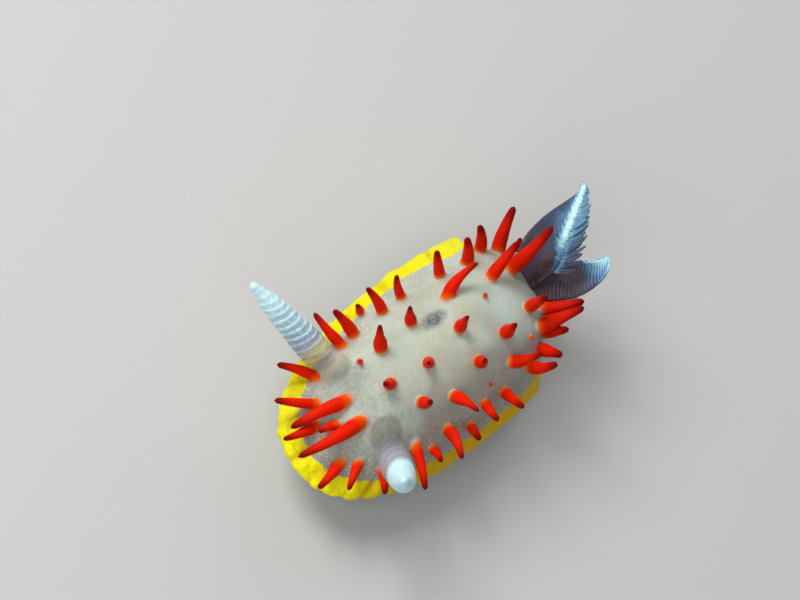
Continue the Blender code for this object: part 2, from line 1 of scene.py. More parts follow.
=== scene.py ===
"""Looks of the sea slug: one skin with its papillae, the flesh under it, the rhinophores and the gills.

The frame is the CAD model's: metres, the head to -Y, the animal's left to +X, the floor at Z = 0. Clock
angles run round the mantle from the front (0) over the left (90) to the rear (180), and a share is how
far out a point lies from the middle of the back (0) to the mantle's edge (1), as in the part's source.
"""

import math
import random

import bmesh
import bpy
import numpy as np
from mathutils import Matrix, Vector, noise
from mathutils.kdtree import KDTree


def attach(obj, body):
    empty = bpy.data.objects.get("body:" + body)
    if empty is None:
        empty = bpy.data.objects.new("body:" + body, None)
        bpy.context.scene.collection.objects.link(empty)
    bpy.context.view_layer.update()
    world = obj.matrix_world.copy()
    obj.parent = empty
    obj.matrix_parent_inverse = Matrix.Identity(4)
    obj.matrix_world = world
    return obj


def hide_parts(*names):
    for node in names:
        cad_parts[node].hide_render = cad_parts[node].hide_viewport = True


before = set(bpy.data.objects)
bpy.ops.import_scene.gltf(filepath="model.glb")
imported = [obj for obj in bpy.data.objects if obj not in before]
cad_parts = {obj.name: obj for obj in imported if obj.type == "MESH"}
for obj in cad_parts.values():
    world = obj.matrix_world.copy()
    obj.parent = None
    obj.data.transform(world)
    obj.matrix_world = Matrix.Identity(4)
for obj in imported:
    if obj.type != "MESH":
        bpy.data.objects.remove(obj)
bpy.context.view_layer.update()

MM = 0.001

# Mantle, with the values of the part's source
MANTLE_HALF_WIDTH = 2.37 * MM
MANTLE_FRONT = 4.66 * MM
MANTLE_REAR = 4.15 * MM
FRONT_ROUNDNESS = 2.3
REAR_ROUNDNESS = 2.9
BACK_HEIGHT = 3.1 * MM
EDGE_HEIGHT = 1.4 * MM
REAR_DROP = 0.5 * MM
LEFT_DROP = 0.1 * MM
LEFT_REAR_DROP = 0.2 * MM
LEFT_REAR_START = 0.2
LEFT_REAR_SPAN = 0.5
BELLY_HEIGHT = 1.15 * MM
REAR_START = 0.1
LEFT_CORNER = 2.35 * MM
RIGHT_CORNER = 3.07 * MM
REAR_TAPER = 0.5
DOME_POWER = 2.1
DOME_FLARE = 1.35
REAR_DOME_POWER = 1.4
REAR_DOME_FLARE = 0.75
SKIRT_START = 0.62
SKIRT_RISE = 0.2
SKIRT_THICKNESS = 0.3 * MM

# Mesh of the mantle
COLUMNS = 420
TOP_RINGS = 84
LIP_RINGS = 11
UNDER_RINGS = 12
LIP_SHARE = 0.965
INNERMOST = 0.012
UNDER_SHARE = 0.4
# from this share on, and over this span, the edge's waves and folds set in
EDGE_START = 0.8
EDGE_SPAN = 0.2
EDGE_WAVES = ((11, 0.008, 0.4), (19, 0.010, 1.9), (33, 0.020, 0.7), (53, 0.012, 2.6))
EDGE_DRAWN_IN = 0.025 * MM
FRONT_DRAWN_IN = 1.4
# lobes of the band at the rear corners and along the rear left side: clock angle, width and how far out
LOBES = (
    (math.radians(-127), math.radians(7), 0.13 * MM),
    (math.radians(119), math.radians(7), 0.09 * MM),
    (math.radians(98), math.radians(15), 0.05 * MM),
)
LOBE_CLOCK = LOBES[0][0]
LOBE_BAND_WIDTH = math.radians(16)
LOBE_BAND = 0.8
REAR_BAND = 0.55
REAR_BAND_START = 0.34
REAR_BAND_SPAN = 0.2
# a notch in the band, at the left of the front, with painted shade in it
NOTCH_CLOCK = math.radians(39.5)
NOTCH_WIDTH = math.radians(1.9)
NOTCH_DEPTH = 0.045 * MM
NOTCH_SHADE = 1.3
# the deepest of the fine waves, where the band is creased and painted shade lies
CREASE_DEPTH = 0.03 * MM
# lumps of the band, which fade out past its inner edge
LUMP_SIZE = 0.2 * MM
LUMP_FINE_SIZE = 0.45 * LUMP_SIZE
LUMP_HEIGHT = 0.05 * MM
LUMP_END = 1.3
LUMP_SPAN = 0.5
EDGE_FOLDS = ((23, 0.020, 1.1), (41, 0.012, 0.2), (67, 0.006, 2.0))
BAND_WIDTH = 0.52 * MM
LEFT_BAND_WIDTH = 0.48 * MM

# Papillae: clock angle, share, length in mm, compass bearing and rise in degrees, as in the part's source
PAPILLAE = (
    # front rim
    (-45, 0.82, 1.15, -50, 7), (-27, 0.80, 1.15, -38, 7), (-13, 0.82, 1.05, -13, 9),
    (14, 0.84, 0.95, 9, 5), (24, 0.80, 0.90, 24, 14), (41, 0.81, 0.85, 42, 23),
    (-18, 0.65, 1.54, -12, -11), (2, 0.64, 1.79, -9, -11), (-6, 0.73, 0.60, -11, 15),
    # the animal's right side
    (-63, 0.77, 1.15, -80, 15), (-70, 0.75, 1.15, -63, 39), (-83, 0.87, 0.55, -41, 60),
    (-85, 0.71, 1.05, -68, 41), (-92, 0.71, 0.95, -73, 56), (-112, 0.67, 1.00, -80, 57),
    (-131, 0.69, 1.00, -85, 61), (-141, 0.80, 1.00, -85, 61),
    # the animal's left side
    (55, 0.70, 1.18, 60, 4), (67, 0.77, 0.70, 55, 45), (74, 0.68, 1.15, 57, 32),
    (87, 0.79, 0.80, 47, 48), (92, 0.69, 1.00, 52, 47), (101, 0.74, 1.10, 61, 52),
    (116, 0.57, 1.15, 129, 70), (120, 0.76, 1.10, 102, 70), (132, 0.78, 1.00, 74, 63),
    # middle of the back
    (-56, 0.49, 1.15, -74, 63), (-84, 0.44, 0.95, -60, 65), (-144, 0.12, 0.90, -67, 83),
    (-9, 0.40, 0.80, -11, 52), (0, 0.17, 0.80, 0, 61), (39, 0.40, 0.90, 30, 72),
    (75, 0.44, 1.15, 75, 51), (102, 0.32, 0.90, 10, 70), (148, 0.39, 1.00, -2, 82),
    (-48, 0.59, 0.30, -8, 67), (-162, 0.41, 0.24, -11, 69), (140, 0.62, 0.16, -1, 66),
    (97, 0.58, 0.18, 5, 64),
    # in front of the gills
    (-153, 0.84, 1.28, -139, 41), (-157, 0.56, 1.19, -161, 46), (-168, 0.71, 1.61, -172, 47),
    (-112, 0.44, 1.20, -167, 46), (168, 0.62, 1.10, 78, 87), (160, 0.77, 1.15, 142, 44),
    (148, 0.70, 1.28, 159, 45), (142, 0.80, 1.00, 101, 71),
    # rear slope
    (162, 0.87, 0.60, 150, 14), (178, 0.88, 0.60, 180, 14), (-163, 0.87, 0.60, -150, 14),
)
PAPILLA_THINNEST = 0.095 * MM
PAPILLA_THICKER = 0.045
SMALL_PAPILLA = 0.65 * MM
SMALL_PAPILLA_SIZE = 0.3
PAPILLA_SUNK = 0.28 * MM
PAPILLA_BEND = 0.42
PAPILLA_RINGS = 26
PAPILLA_SIDES = 20
PAPILLA_SEED = 7
PAPILLA_FACING = Vector((0.31, 0.2, 0.93))
# ranges of the random draws: girth, sway of the start, swelling and taper
GIRTH_RANGE = (0.93, 1.07)
SWAY = 0.2
SWELL_RANGE = (0.0, 0.16)
TAPER_RANGE = (0.48, 0.64)
TAPER_POWER = 1.9
SWELL_END = 0.55
BLUNT_START = 0.92
# papillae in the middle of the back have a more bulbous root
BULB_SHARE = 0.5
BULB_SWELL = 0.13
BULB_TAPER = 0.12
# towards the rear they are thicker
REAR_GIRTH = 1.14
REAR_GIRTH_START = 0.5 * MM
REAR_GIRTH_SPAN = 1.5 * MM
# how far a papilla starts out towards the skin's normal
PAPILLA_UPRIGHT = 0.3
ROOT_FLARE = 0.16
ROOT_FLARE_LENGTH = 0.07 * MM
FILLET_WIDTH = 0.06 * MM
FILLET_STEPS = 10
# how a point of the skin is told to belong to a papilla
OFF_PAPILLA = -9 * MM
FIELD_REACH = 0.5 * MM
ROOT_RING = 4
ROOT_MARGIN = 1.15
TOUCH_MARGIN = 1.12
TOUCH_GAP = 0.02 * MM
FREE_HEIGHT = 0.3 * MM
FADE_MARGIN = 1.04
FADE_GAP = 0.01 * MM
FADE_HEIGHT = 0.05 * MM
FADE_RATE = 6

# Foot: height, half width, reach to the front and to the rear in mm, and how much it narrows to the rear
FOOT_LEVELS = (
    (0.0, 1.32, 3.7, 4.35, 0.5),
    (0.03, 1.42, 3.82, 4.47, 0.47),
    (0.1, 1.46, 3.86, 4.5, 0.45),
    (0.2, 1.42, 3.82, 4.42, 0.46),
    (0.35, 1.26, 3.7, 4.15, 0.5),
    (0.6, 1.16, 3.6, 3.6, 0.5),
    (0.9, 1.18, 3.55, 3.2, 0.45),
    (1.2, 1.3, 3.5, 3.0, 0.4),
    (1.4, 1.3, 3.4, 2.9, 0.4),
)
FOOT_SIDES = 96
FOOT_FRONT_POWER = 0.8
# where the head flows into the foot
NECK = -3.1 * MM
NECK_WIDTH = 0.5 * MM
NECK_STEPS = 6
SNOUT_SIZE = Vector((1.15, 1.05, 0.64)) * MM
SNOUT_PLACE = Vector((0, -2.95, 0.44)) * MM
SNOUT_UNDERSIDE = 0.01 * MM
MOUTH_HEIGHT = -0.2 * MM
MOUTH_THICKNESS = 0.07 * MM
MOUTH_HALF_WIDTH = 0.3 * MM
MOUTH_DEPTH = 0.16 * MM
# lobes of the veil on the animal's left, in mm
VEIL_ROOT = (0.65, -3.2, 0.42)
VEIL_TIP = (1.56, -3.3, 0.34)
VEIL_BEND = (0.1, 0.1, 0.02)
VEIL_GIRTH = 0.27 * MM
VEIL_TAPER = 0.25
VEIL_FLATNESS = 0.75
VEIL_ROUND_START = 0.8
VEIL_RINGS = 24
VEIL_SIDES = 32

# Rhinophores: base in plan, where the tip is from there and how far the middle is bent, in mm
RHINOPHORES = {
    "rhinophore_right": (Vector((-1.42, -2.42)), Vector((-2.84, -1.14, 1.55)), Vector((0, 0, 0))),
    "rhinophore_left": (Vector((0.87, -2.67)), Vector((1.01, -1.7, 2.62)), Vector((0.38, -0.03, -0.16))),
}
RHINOPHORE_RADIUS = 0.37 * MM
RHINOPHORE_SWELL = 0.06 * MM
SWELL_SHARE = 0.3
RHINOPHORE_TAPER = 0.6
CLUB_POWER = 1.6
POINT_TAPER = 0.4
POINT_START = 0.72
CLUB_ROUND_START = 0.965
RHINOPHORE_RINGS = 300
RHINOPHORE_SIDES = 72
RHINOPHORE_SUNK = 0.06
LAMELLAE = {"rhinophore_right": 14, "rhinophore_left": 11}
STALK_SHARE = 0.08
CLUB_END_SHARE = 0.95
LAMELLA_SLANT = {"rhinophore_right": 0.03, "rhinophore_left": 0.05}
LAMELLA_DEPTH = 0.06
LAMELLA_WAVER = 0.004
# a ridge rises over a long slope and falls over a short one, as shares of its width
LAMELLA_CREST = 0.6
LAMELLA_RISE = 0.3
LAMELLA_FALL = 0.14
SLANT_SPAN = 0.2
CLUB_UNEVEN = 0.006
# where each one turns from glassy to white, and over what share of its length
WHITE_FROM = {"rhinophore_right": (0.2, 0.3), "rhinophore_left": (0.41, 0.08)}
# where each one brightens to its full white, and over what share
BRIGHT_FROM = {"rhinophore_right": (0.45, 0.4), "rhinophore_left": (0.34, 0.14)}
RHINOPHORE_SIZE = {"rhinophore_right": 1.0, "rhinophore_left": 1.07}
SHEATH_RISE = 0.8
# how strong the ridges are in the glassy and in the white part
RIDGE_STRENGTH = {"rhinophore_right": (0.8, 1.0), "rhinophore_left": (0.3, 0.3)}
SHEATH = (
    # height, share of the rhinophore's own lean, radius
    (-0.3, 0, 0.54), (0, 0.3, 0.47), (0.08, 0.7, 0.42), (0.16, 1, 0.385), (0.22, 1, 0.36), (0.26, 1, 0.32),
)
SHEATH_SIDES = 40
SHEATH_FACING = (0.2, 1, 0.1)
COLLAR_REACH = 0.5 * MM
COLLAR_START = 0.03 * MM
SHEATH_FOOT = 0.54 * MM
SHEATH_FILLET = 0.14 * MM

# Gills: the two large leaves lie nearly square to the camera's line of sight, and their points are
# given in mm as x, how far up the picture plane and how far in front of it
PLANE_UP = Vector((0, 0.875, 0.485))
PLANE_FRONT = Vector((0, -0.485, 0.875))
PLANE_HEIGHT = 1.35
LEAF_1_RIB = (
    (0.1, 3.2, -0.6), (0.13, 3.62, -0.55), (0.07, 4.09, -0.48), (-0.28, 4.65, -0.42), (-0.81, 5.58, -0.34),
    (-1.057, 5.94, -0.32),
)
LEAF_1_EDGE = (
    (-0.15, 3.15, -0.7), (-0.62, 3.4, -0.7), (-0.96, 3.94, -0.66), (-1.07, 4.65, -0.56), (-1.02, 5.4, -0.42),
    (-1.0, 5.74, -0.36),
)
LEAF_2_RIB = (
    (0.25, 3.2, -0.6), (0.68, 3.5, -0.66), (1.02, 4.12, -0.78), (1.07, 4.75, -0.75), (0.93, 5.13, -0.68),
    (0.735, 5.28, -0.64),
)
LEAF_2_EDGE = (
    (-0.1, 3.25, -0.6), (0.02, 3.75, -0.68), (0.18, 4.25, -0.75), (0.4, 4.6, -0.77), (0.62, 4.97, -0.7),
    (0.725, 5.27, -0.65),
)
GILL_PIT = Vector((0.05, 3.12, 2.42)) * MM
GILL_PIT_AXIS = Vector((0.0, 0.68, 0.73)).normalized()
GILL_PIT_DEPTH = 0.3 * MM
GILL_RING_RADIUS = 0.4 * MM
SMALL_GILLS = (
    # name, angle of the root round the pit, tip from the pit's middle in mm
    ("gill_3", -90, Vector((0.1, 1.45, -0.55))),
    ("gill_4", -18, Vector((1.0, 1.2, -0.45))),
    ("gill_5", 198, Vector((-0.95, 1.35, -0.3))),
)
LEAF_FACING = (0, -0.5, 0.87)
LEAF_ROWS = 150
# the web of the tall leaf ends short of its tip
SHORT_WEB_ROWS = 141
SMALL_LEAF_ROWS = 60
SMALL_LEAF_RISE = 0.45 * MM
KNOT_STEPS = 24
RIB_SIDES = 14
RIB_FLATNESS = 0.8
# beads of a midrib, as angles that they turn through along it
BEADS = 170
BEAD_WANDER = 23
BEAD_SWELLS = 61
WEB_COLUMNS = 22
WEB_SLANT = 0.2
WEB_SLANT_POWER = 1.3
WEB_SHARPNESS = 8
WEB_RIDGE = 0.014 * MM
WEB_SAG = -0.14 * MM
WEB_HALF_THICKNESS = 0.012 * MM
BLADE_RINGS = 18
BLADE_SIDES = 12
BLADE_KNEE = 0.62
BLADE_ROUND_START = 0.8
BLADE_FLATNESS = 0.16

# Camera, fitted to the photo
VIEW_UP = 61
VIEW_ROLL = 51.5
LOOK_AT = Vector((-1.664, 0.477, 1.615)) * MM
CAMERA_DISTANCE = 400 * MM
FRAME_WIDTH = 19.9 * MM
SENSOR_WIDTH = 36


def ease(x):
    x = np.clip(x, 0.0, 1.0)
    return x * x * (3 - 2 * x)


def mix(a, b, share):
    return a + (b - a) * share


def signed_power(x, power):
    return np.sign(x) * np.abs(x) ** power


def bell(x):
    """1 at 0, falling smoothly to 0 on both sides."""
    return np.exp(-x ** 2)


def turns(count):
    """Angles evenly spaced round a circle."""
    return np.linspace(0, math.tau, count, endpoint=False)


def rounded(t, start, least):
    """Share of a tube's girth that is left, as its end rounds off from a share of its length on."""
    return np.sqrt(np.maximum(1 - (np.maximum(t - start, 0) / (1 - start)) ** 2, least))


def lengths(path):
    """How far along a path each of its points lies."""
    return np.concatenate([[0], np.cumsum(np.linalg.norm(np.diff(path, axis=0), axis=1))])


def rearness(clock):
    """0 over the front half and the sides, 1 at the rear."""
    return ease((-np.cos(clock) - REAR_START) / (1 - REAR_START))


def edge(clock):
    """Plan of the mantle's outer edge, as x and y, for one clock angle or an array of them."""
    ahead = np.cos(clock)
    power = 2 / np.where(ahead > 0, FRONT_ROUNDNESS, REAR_ROUNDNESS)
    reach = np.where(ahead > 0, MANTLE_FRONT, MANTLE_REAR)
    across = MANTLE_HALF_WIDTH * signed_power(np.sin(clock), power)
    return across, -reach * signed_power(ahead, power)


def edge_length(clock):
    return np.hypot(*edge(clock))


def skin_height(clock, share):
    rear = rearness(clock)
    left = np.maximum(np.sin(clock), 0)
    left_rear = ease((-np.cos(clock) - LEFT_REAR_START) / LEFT_REAR_SPAN)
    rim = EDGE_HEIGHT - REAR_DROP * rear - left * (LEFT_DROP + LEFT_REAR_DROP * left_rear)
    power = DOME_POWER + REAR_DOME_POWER * rear
    flare = mix(DOME_FLARE, REAR_DOME_FLARE, rear)
    return rim + (BACK_HEIGHT - rim) * (1 - np.minimum(share, 1) ** power) ** flare


def rear_width(x, y):
    """Behind a corner on each side the mantle narrows, to this share of its width at a place in plan."""
    corner = np.where(x > 0, LEFT_CORNER, RIGHT_CORNER)
    return 1 - REAR_TAPER * np.maximum(0, (y - corner) / (MANTLE_REAR - corner))


def skin(clock, share):
    """Points of the back, as rows of x, y and z."""
    x, y = edge(clock)
    x, y = x * share, y * share
    return np.stack([x * rear_width(x, y), y, skin_height(clock, share)], axis=-1)


def skin_normal(clock, share):
    step = 0.01
    share = min(max(share, 2 * step), 1 - 2 * step)
    across = skin(clock + step, share) - skin(clock - step, share)
    outward = skin(clock, share + step) - skin(clock, share - step)
    normal = Vector(np.cross(across, outward)).normalized()
    return normal if normal.z > 0 else -normal


def skin_over(x, y):
    """Clock angles and shares of the points of the back over points in plan."""
    x = x / rear_width(x, y)
    ahead = y < 0
    power = np.where(ahead, FRONT_ROUNDNESS, REAR_ROUNDNESS) / 2
    reach = np.where(ahead, MANTLE_FRONT, MANTLE_REAR)
    clock = np.arctan2(
        signed_power(x / MANTLE_HALF_WIDTH, power),
        signed_power(-y / reach, power),
    )
    return clock, np.hypot(x, y) / edge_length(clock)


def waves(clock, kinds):
    """Sum of a few sines round the edge, in metres."""
    return sum(depth * MM * np.sin(count * clock + phase) for count, depth, phase in kinds)


def near_clock(clock, centre, width):
    """1 at a clock angle, falling to 0 on both sides of it."""
    return bell(np.angle(np.exp(1j * (clock - centre))) / width)


def edge_shift(clock):
    """How far the wavy edge lies outside the plain one."""
    drawn_in = EDGE_DRAWN_IN * (1 + FRONT_DRAWN_IN * np.maximum(np.cos(clock), 0))
    lobes = sum(out * near_clock(clock, centre, width) for centre, width, out in LOBES)
    notch = NOTCH_DEPTH * near_clock(clock, NOTCH_CLOCK, NOTCH_WIDTH)
    return waves(clock, EDGE_WAVES) - drawn_in + lobes - notch


def direction(bearing, rise):
    bearing, rise = math.radians(bearing), math.radians(rise)
    level = math.cos(rise)
    return Vector((level * math.sin(bearing), -level * math.cos(bearing), math.sin(rise)))


def mesh_object(name, points, faces):
    mesh = bpy.data.meshes.new(name)
    mesh.from_pydata(np.asarray(points).tolist(), [], faces)
    bm = bmesh.new()
    bm.from_mesh(mesh)
    bmesh.ops.recalc_face_normals(bm, faces=bm.faces)
    bm.to_mesh(mesh)
    bm.free()
    mesh.shade_smooth()
    return bpy.data.objects.new(name, mesh)


def ring_faces(rings, sides, first=0):
    """Faces of a closed tube whose points are numbered ring by ring."""
    faces = []
    for ring in range(rings - 1):
        low, high = first + ring * sides, first + (ring + 1) * sides
        for i in range(sides):
            j = (i + 1) % sides
            faces.append((low + i, low + j, high + j, high + i))
    last = first + (rings - 1) * sides
    faces.append(tuple(range(first, first + sides)))
    faces.append(tuple(range(last, last + sides)))
    return faces


def bezier(start, knee, end, count):
    t = np.linspace(0, 1, count)[:, None]
    start, knee, end = (np.array(p) for p in (start, knee, end))
    return start * (1 - t) ** 2 + knee * 2 * t * (1 - t) + end * t ** 2


def frames(path, facing):
    """Unit vectors along a path, across it and out of it, where out is as near to facing as it can be."""
    along = np.gradient(path, axis=0)
    along /= np.linalg.norm(along, axis=1, keepdims=True)
    facing = np.broadcast_to(np.array(facing, float), path.shape)
    out = facing - (facing * along).sum(1, keepdims=True) * along
    out /= np.linalg.norm(out, axis=1, keepdims=True)
    return along, np.cross(along, out), out


def swept(path, facing, widths, depths, sides):
    """Points of a tube with oval sections, half as wide and deep as given."""
    _, across, out = frames(path, facing)
    turn = turns(sides)
    widths, depths = (np.broadcast_to(values, len(path)) for values in (widths, depths))
    points = path[:, None] + across[:, None] * (widths[:, None] * np.cos(turn))[..., None]
    points = points + out[:, None] * (depths[:, None] * np.sin(turn))[..., None]
    return points.reshape(-1, 3)


def tube(name, path, facing, widths, depths, sides):
    return mesh_object(name, swept(path, facing, widths, depths, sides), ring_faces(len(path), sides))


def attributes(body, **fields):
    """Writes each field's numbers to the points, for the material to read."""
    for name, values in fields.items():
        layer = body.data.attributes.new(name, "FLOAT", "POINT")
        layer.data.foreach_set("value", np.asarray(values, np.float32))


def link(body):
    bpy.context.scene.collection.objects.link(body)


def points_of(body):
    points = np.empty(len(body.data.vertices) * 3, np.float32)
    body.data.vertices.foreach_get("co", points)
    return points.reshape(-1, 3).astype(float)


def set_points(body, points):
    body.data.vertices.foreach_set("co", np.asarray(points, np.float32).ravel())
    body.data.update()


def relax(body, weights, steps):
    """Moves points towards the middle of their neighbours, by weight."""
    points = points_of(body)
    ends = np.empty(len(body.data.edges) * 2, np.int32)
    body.data.edges.foreach_get("vertices", ends)
    first, second = ends.reshape(-1, 2).T
    count = np.bincount(ends, minlength=len(points))[:, None]
    for _ in range(steps):
        total = np.zeros_like(points)
        np.add.at(total, first, points[second])
        np.add.at(total, second, points[first])
        points += (total / np.maximum(count, 1) - points) * weights[:, None]
    set_points(body, points)


# Mantle and papillae

def mantle_rings():
    """Rings of points from the middle of the back over the edge to the middle of the underside."""
    clock = turns(COLUMNS)
    wave = 1 + edge_shift(clock) / edge_length(clock)
    folds = waves(clock, EDGE_FOLDS)
    rings = []
    for share in np.linspace(INNERMOST, LIP_SHARE, TOP_RINGS):
        near_edge = ease((share - EDGE_START) / EDGE_SPAN)
        ring = skin(clock, share * mix(1, wave, near_edge))
        ring[:, 2] = skin_height(clock, share) + folds * near_edge
        rings.append(ring)
    for turn in np.linspace(0, math.pi, LIP_RINGS)[1:]:
        share = LIP_SHARE + (1 - LIP_SHARE) * math.sin(turn)
        ring = skin(clock, share * wave)
        ring[:, 2] = skin_height(clock, share) + folds - SKIRT_THICKNESS / 2 * (1 - math.cos(turn))
        rings.append(ring)
    for share in np.linspace(LIP_SHARE, UNDER_SHARE, UNDER_RINGS)[1:]:
        ring = skin(clock, share)
        skirt = ring[:, 2] - SKIRT_THICKNESS + folds * ease((share - EDGE_START) / EDGE_SPAN)
        ring[:, 2] = mix(BELLY_HEIGHT, skirt, ease((share - SKIRT_START) / SKIRT_RISE))
        rings.append(ring)
    return rings


def bare_mantle():
    rings = mantle_rings()
    return mesh_object("mantle_skin", np.concatenate(rings), ring_faces(len(rings), COLUMNS))


def papilla_path(base, start, length, heading):
    """Points from a papilla's sunk root to its tip."""
    above = bezier(base, base + start * length * PAPILLA_BEND, base + heading * length, PAPILLA_RINGS)
    below = np.array([base - start * PAPILLA_SUNK, base - start * PAPILLA_SUNK / 2])
    return np.concatenate([below, above])


def papilla_radii(length, girth, swell, taper):
    """Swollen above the root, tapering to a blunt tip, with a small flare where it leaves the skin."""
    t = np.linspace(0, 1, PAPILLA_RINGS)
    radii = 1 + swell * np.sin(math.pi * np.minimum(t / SWELL_END, 1)) - taper * t ** TAPER_POWER
    radii *= rounded(t, BLUNT_START, 0.02)
    radii += ROOT_FLARE * bell(t * length / ROOT_FLARE_LENGTH)
    return np.concatenate([[1.0, 1 + ROOT_FLARE], radii]) * girth


def papilla_shapes():
    """Each papilla's path, radii, skin normal and starting direction."""
    draw = random.Random(PAPILLA_SEED)
    shapes = []
    for degrees, share, length, bearing, rise in PAPILLAE:
        clock = math.radians(degrees)
        length *= MM
        girth = (PAPILLA_THINNEST + PAPILLA_THICKER * length) * draw.uniform(*GIRTH_RANGE)
        if length < SMALL_PAPILLA:
            girth *= mix(SMALL_PAPILLA_SIZE, 1, length / SMALL_PAPILLA)
        base, normal = Vector(skin(clock, share)), skin_normal(clock, share)
        heading = direction(bearing, rise)
        girth *= mix(1, REAR_GIRTH, float(ease((base.y - REAR_GIRTH_START) / REAR_GIRTH_SPAN)))
        start = heading.lerp(normal, PAPILLA_UPRIGHT).normalized()
        swayed = (start + Vector([draw.uniform(-SWAY, SWAY) for _ in range(3)])).normalized()
        bulb = share < BULB_SHARE
        swell = draw.uniform(*SWELL_RANGE) + BULB_SWELL * bulb
        taper = draw.uniform(*TAPER_RANGE) + BULB_TAPER * bulb
        radii = papilla_radii(length, girth, swell, taper)
        shapes.append((papilla_path(base, swayed, length, heading), radii, normal, swayed))
    return shapes


def union(body, pieces):
    """Joins closed pieces to a body into one surface."""
    tools = bpy.data.collections.new(body.name + "_pieces")
    bpy.context.scene.collection.children.link(tools)
    for piece in pieces:
        tools.objects.link(piece)
    link(body)
    modifier = body.modifiers.new("union", "BOOLEAN")
    modifier.operation = "UNION"
    modifier.solver = "MANIFOLD"
    modifier.operand_type = "COLLECTION"
    modifier.collection = tools
    graph = bpy.context.evaluated_depsgraph_get()
    mesh = bpy.data.meshes.new_from_object(body.evaluated_get(graph))
    body.modifiers.clear()
    body.data = mesh
    for piece in pieces:
        bpy.data.objects.remove(piece)
    bpy.data.collections.remove(tools)


def sheath(name):
    """The low collar of skin that a rhinophore rises from."""
    base, aim, normal = rhinophore_root(name)
    path, radii = [], []
    for height, lean, radius in SHEATH:
        path.append(base + (normal * (1 - lean) + aim * lean) * height * SHEATH_RISE * MM)
        radii.append(radius * MM)
    return tube("sheath", np.array(path), SHEATH_FACING, radii, radii, SHEATH_SIDES)


def papilla_field(points, path, radii, normal, start):
    """The points near a papilla: their numbers, how far up it they lie, their share of its length, and
    whether they touch it."""
    above, girth = path[2:], radii[2:]
    middle = above.mean(0)
    reach = np.linalg.norm(above - middle, axis=1).max() + FIELD_REACH
    near = np.flatnonzero(np.linalg.norm(points - middle, axis=1) < reach)
    apart = np.linalg.norm(points[near][:, None] - above[None], axis=2)
    place = apart.argmin(1)
    apart, girth_there, up = apart.min(1), girth[place], lengths(above)[place]
    away = points[near] - above[0]
    beside = away - np.outer(away @ np.array(start), start)
    out = np.linalg.norm(beside, axis=1) - girth[ROOT_RING] * ROOT_MARGIN
    climb = away @ np.array(normal) - np.maximum(out, 0)
    touch = apart < girth_there * TOUCH_MARGIN + TOUCH_GAP
    free = touch & (up > FREE_HEIGHT)
    gap = np.maximum(apart - FADE_MARGIN * girth_there - FADE_GAP, 0)
    beyond = np.where(up > FADE_HEIGHT, up - FADE_RATE * gap, climb)
    climb = np.maximum(climb, np.where(free, up, beyond))
    return near, climb, np.where(free, up / lengths(above)[-1], 0), touch


def papilla_fields(points, shapes):
    """How far up a papilla each point lies, less than 0 on the skin round it, its share of the length, and
    whether it touches one."""
    climb = np.full(len(points), OFF_PAPILLA)
    finger = np.zeros(len(points))
    own = np.zeros(len(points), bool)
    for shape in shapes:
        near, up, share, touch = papilla_field(points, *shape)
        climb[near] = np.maximum(climb[near], up)
        finger[near] = np.maximum(finger[near], share)
        own[near] |= touch
    return climb, finger, own


def distance_inward(points):
    """How far each point lies from the mantle's outer edge."""
    clock = turns(4 * COLUMNS)
    ring = skin(clock, 1 + edge_shift(clock) / edge_length(clock))
    ring[:, 2] -= SKIRT_THICKNESS / 2
    tree = KDTree(len(ring))
    for i, point in enumerate(ring):
        tree.insert(point, i)
    tree.balance()
    return np.array([tree.find(point)[2] for point in points])


def band_width(clock):
    """Width of the yellow band, which is narrower on the animal's left."""
    width = mix(BAND_WIDTH, LEFT_BAND_WIDTH, ease(np.sin(clock) * 1.5 - 0.1))
    wider = np.maximum(
        LOBE_BAND * near_clock(clock, LOBE_CLOCK, LOBE_BAND_WIDTH),
        REAR_BAND * ease((-np.cos(clock) - REAR_BAND_START) / REAR_BAND_SPAN),
    )
    return width * (1 + wider)


def lumps(points, band):
    """Raises the band in low, irregular lumps, with the creases between them."""
    for i in np.flatnonzero(band < LUMP_END):
        coarse, fine = (noise.noise(Vector(points[i] / size)) for size in (LUMP_SIZE, LUMP_FINE_SIZE))
        points[i, 2] += LUMP_HEIGHT * (coarse + 0.5 * fine) * float(ease((LUMP_END - band[i]) / LUMP_SPAN))


def joined_skin(shapes):
    """The mantle, the collar and the papillae as one surface."""
    body = bare_mantle()
    pieces = [sheath("rhinophore_right")]
    for path, radii, _, _ in shapes:
        pieces.append(tube("papilla", path, PAPILLA_FACING, radii, radii, PAPILLA_SIDES))
    union(body, pieces)
    return body


def soften_roots(body, climb, own):
    """Rounds the skin off where papillae and rhinophores rise, and keeps the collar out of the climb."""
    points = points_of(body)
    fillet = bell(climb / FILLET_WIDTH)
    for name in RHINOPHORES:
        root, axis, _ = (np.array(v) for v in rhinophore_root(name))
        away = np.linalg.norm(points - root, axis=1)
        along = (points - root) @ axis
        beside = np.sqrt(np.maximum(away ** 2 - along ** 2, 0))
        climb[(beside < COLLAR_REACH) & (along > COLLAR_START) & ~own] = OFF_PAPILLA
        fillet = np.maximum(fillet, bell((away - SHEATH_FOOT) / SHEATH_FILLET))
    relax(body, 0.5 * fillet, FILLET_STEPS)


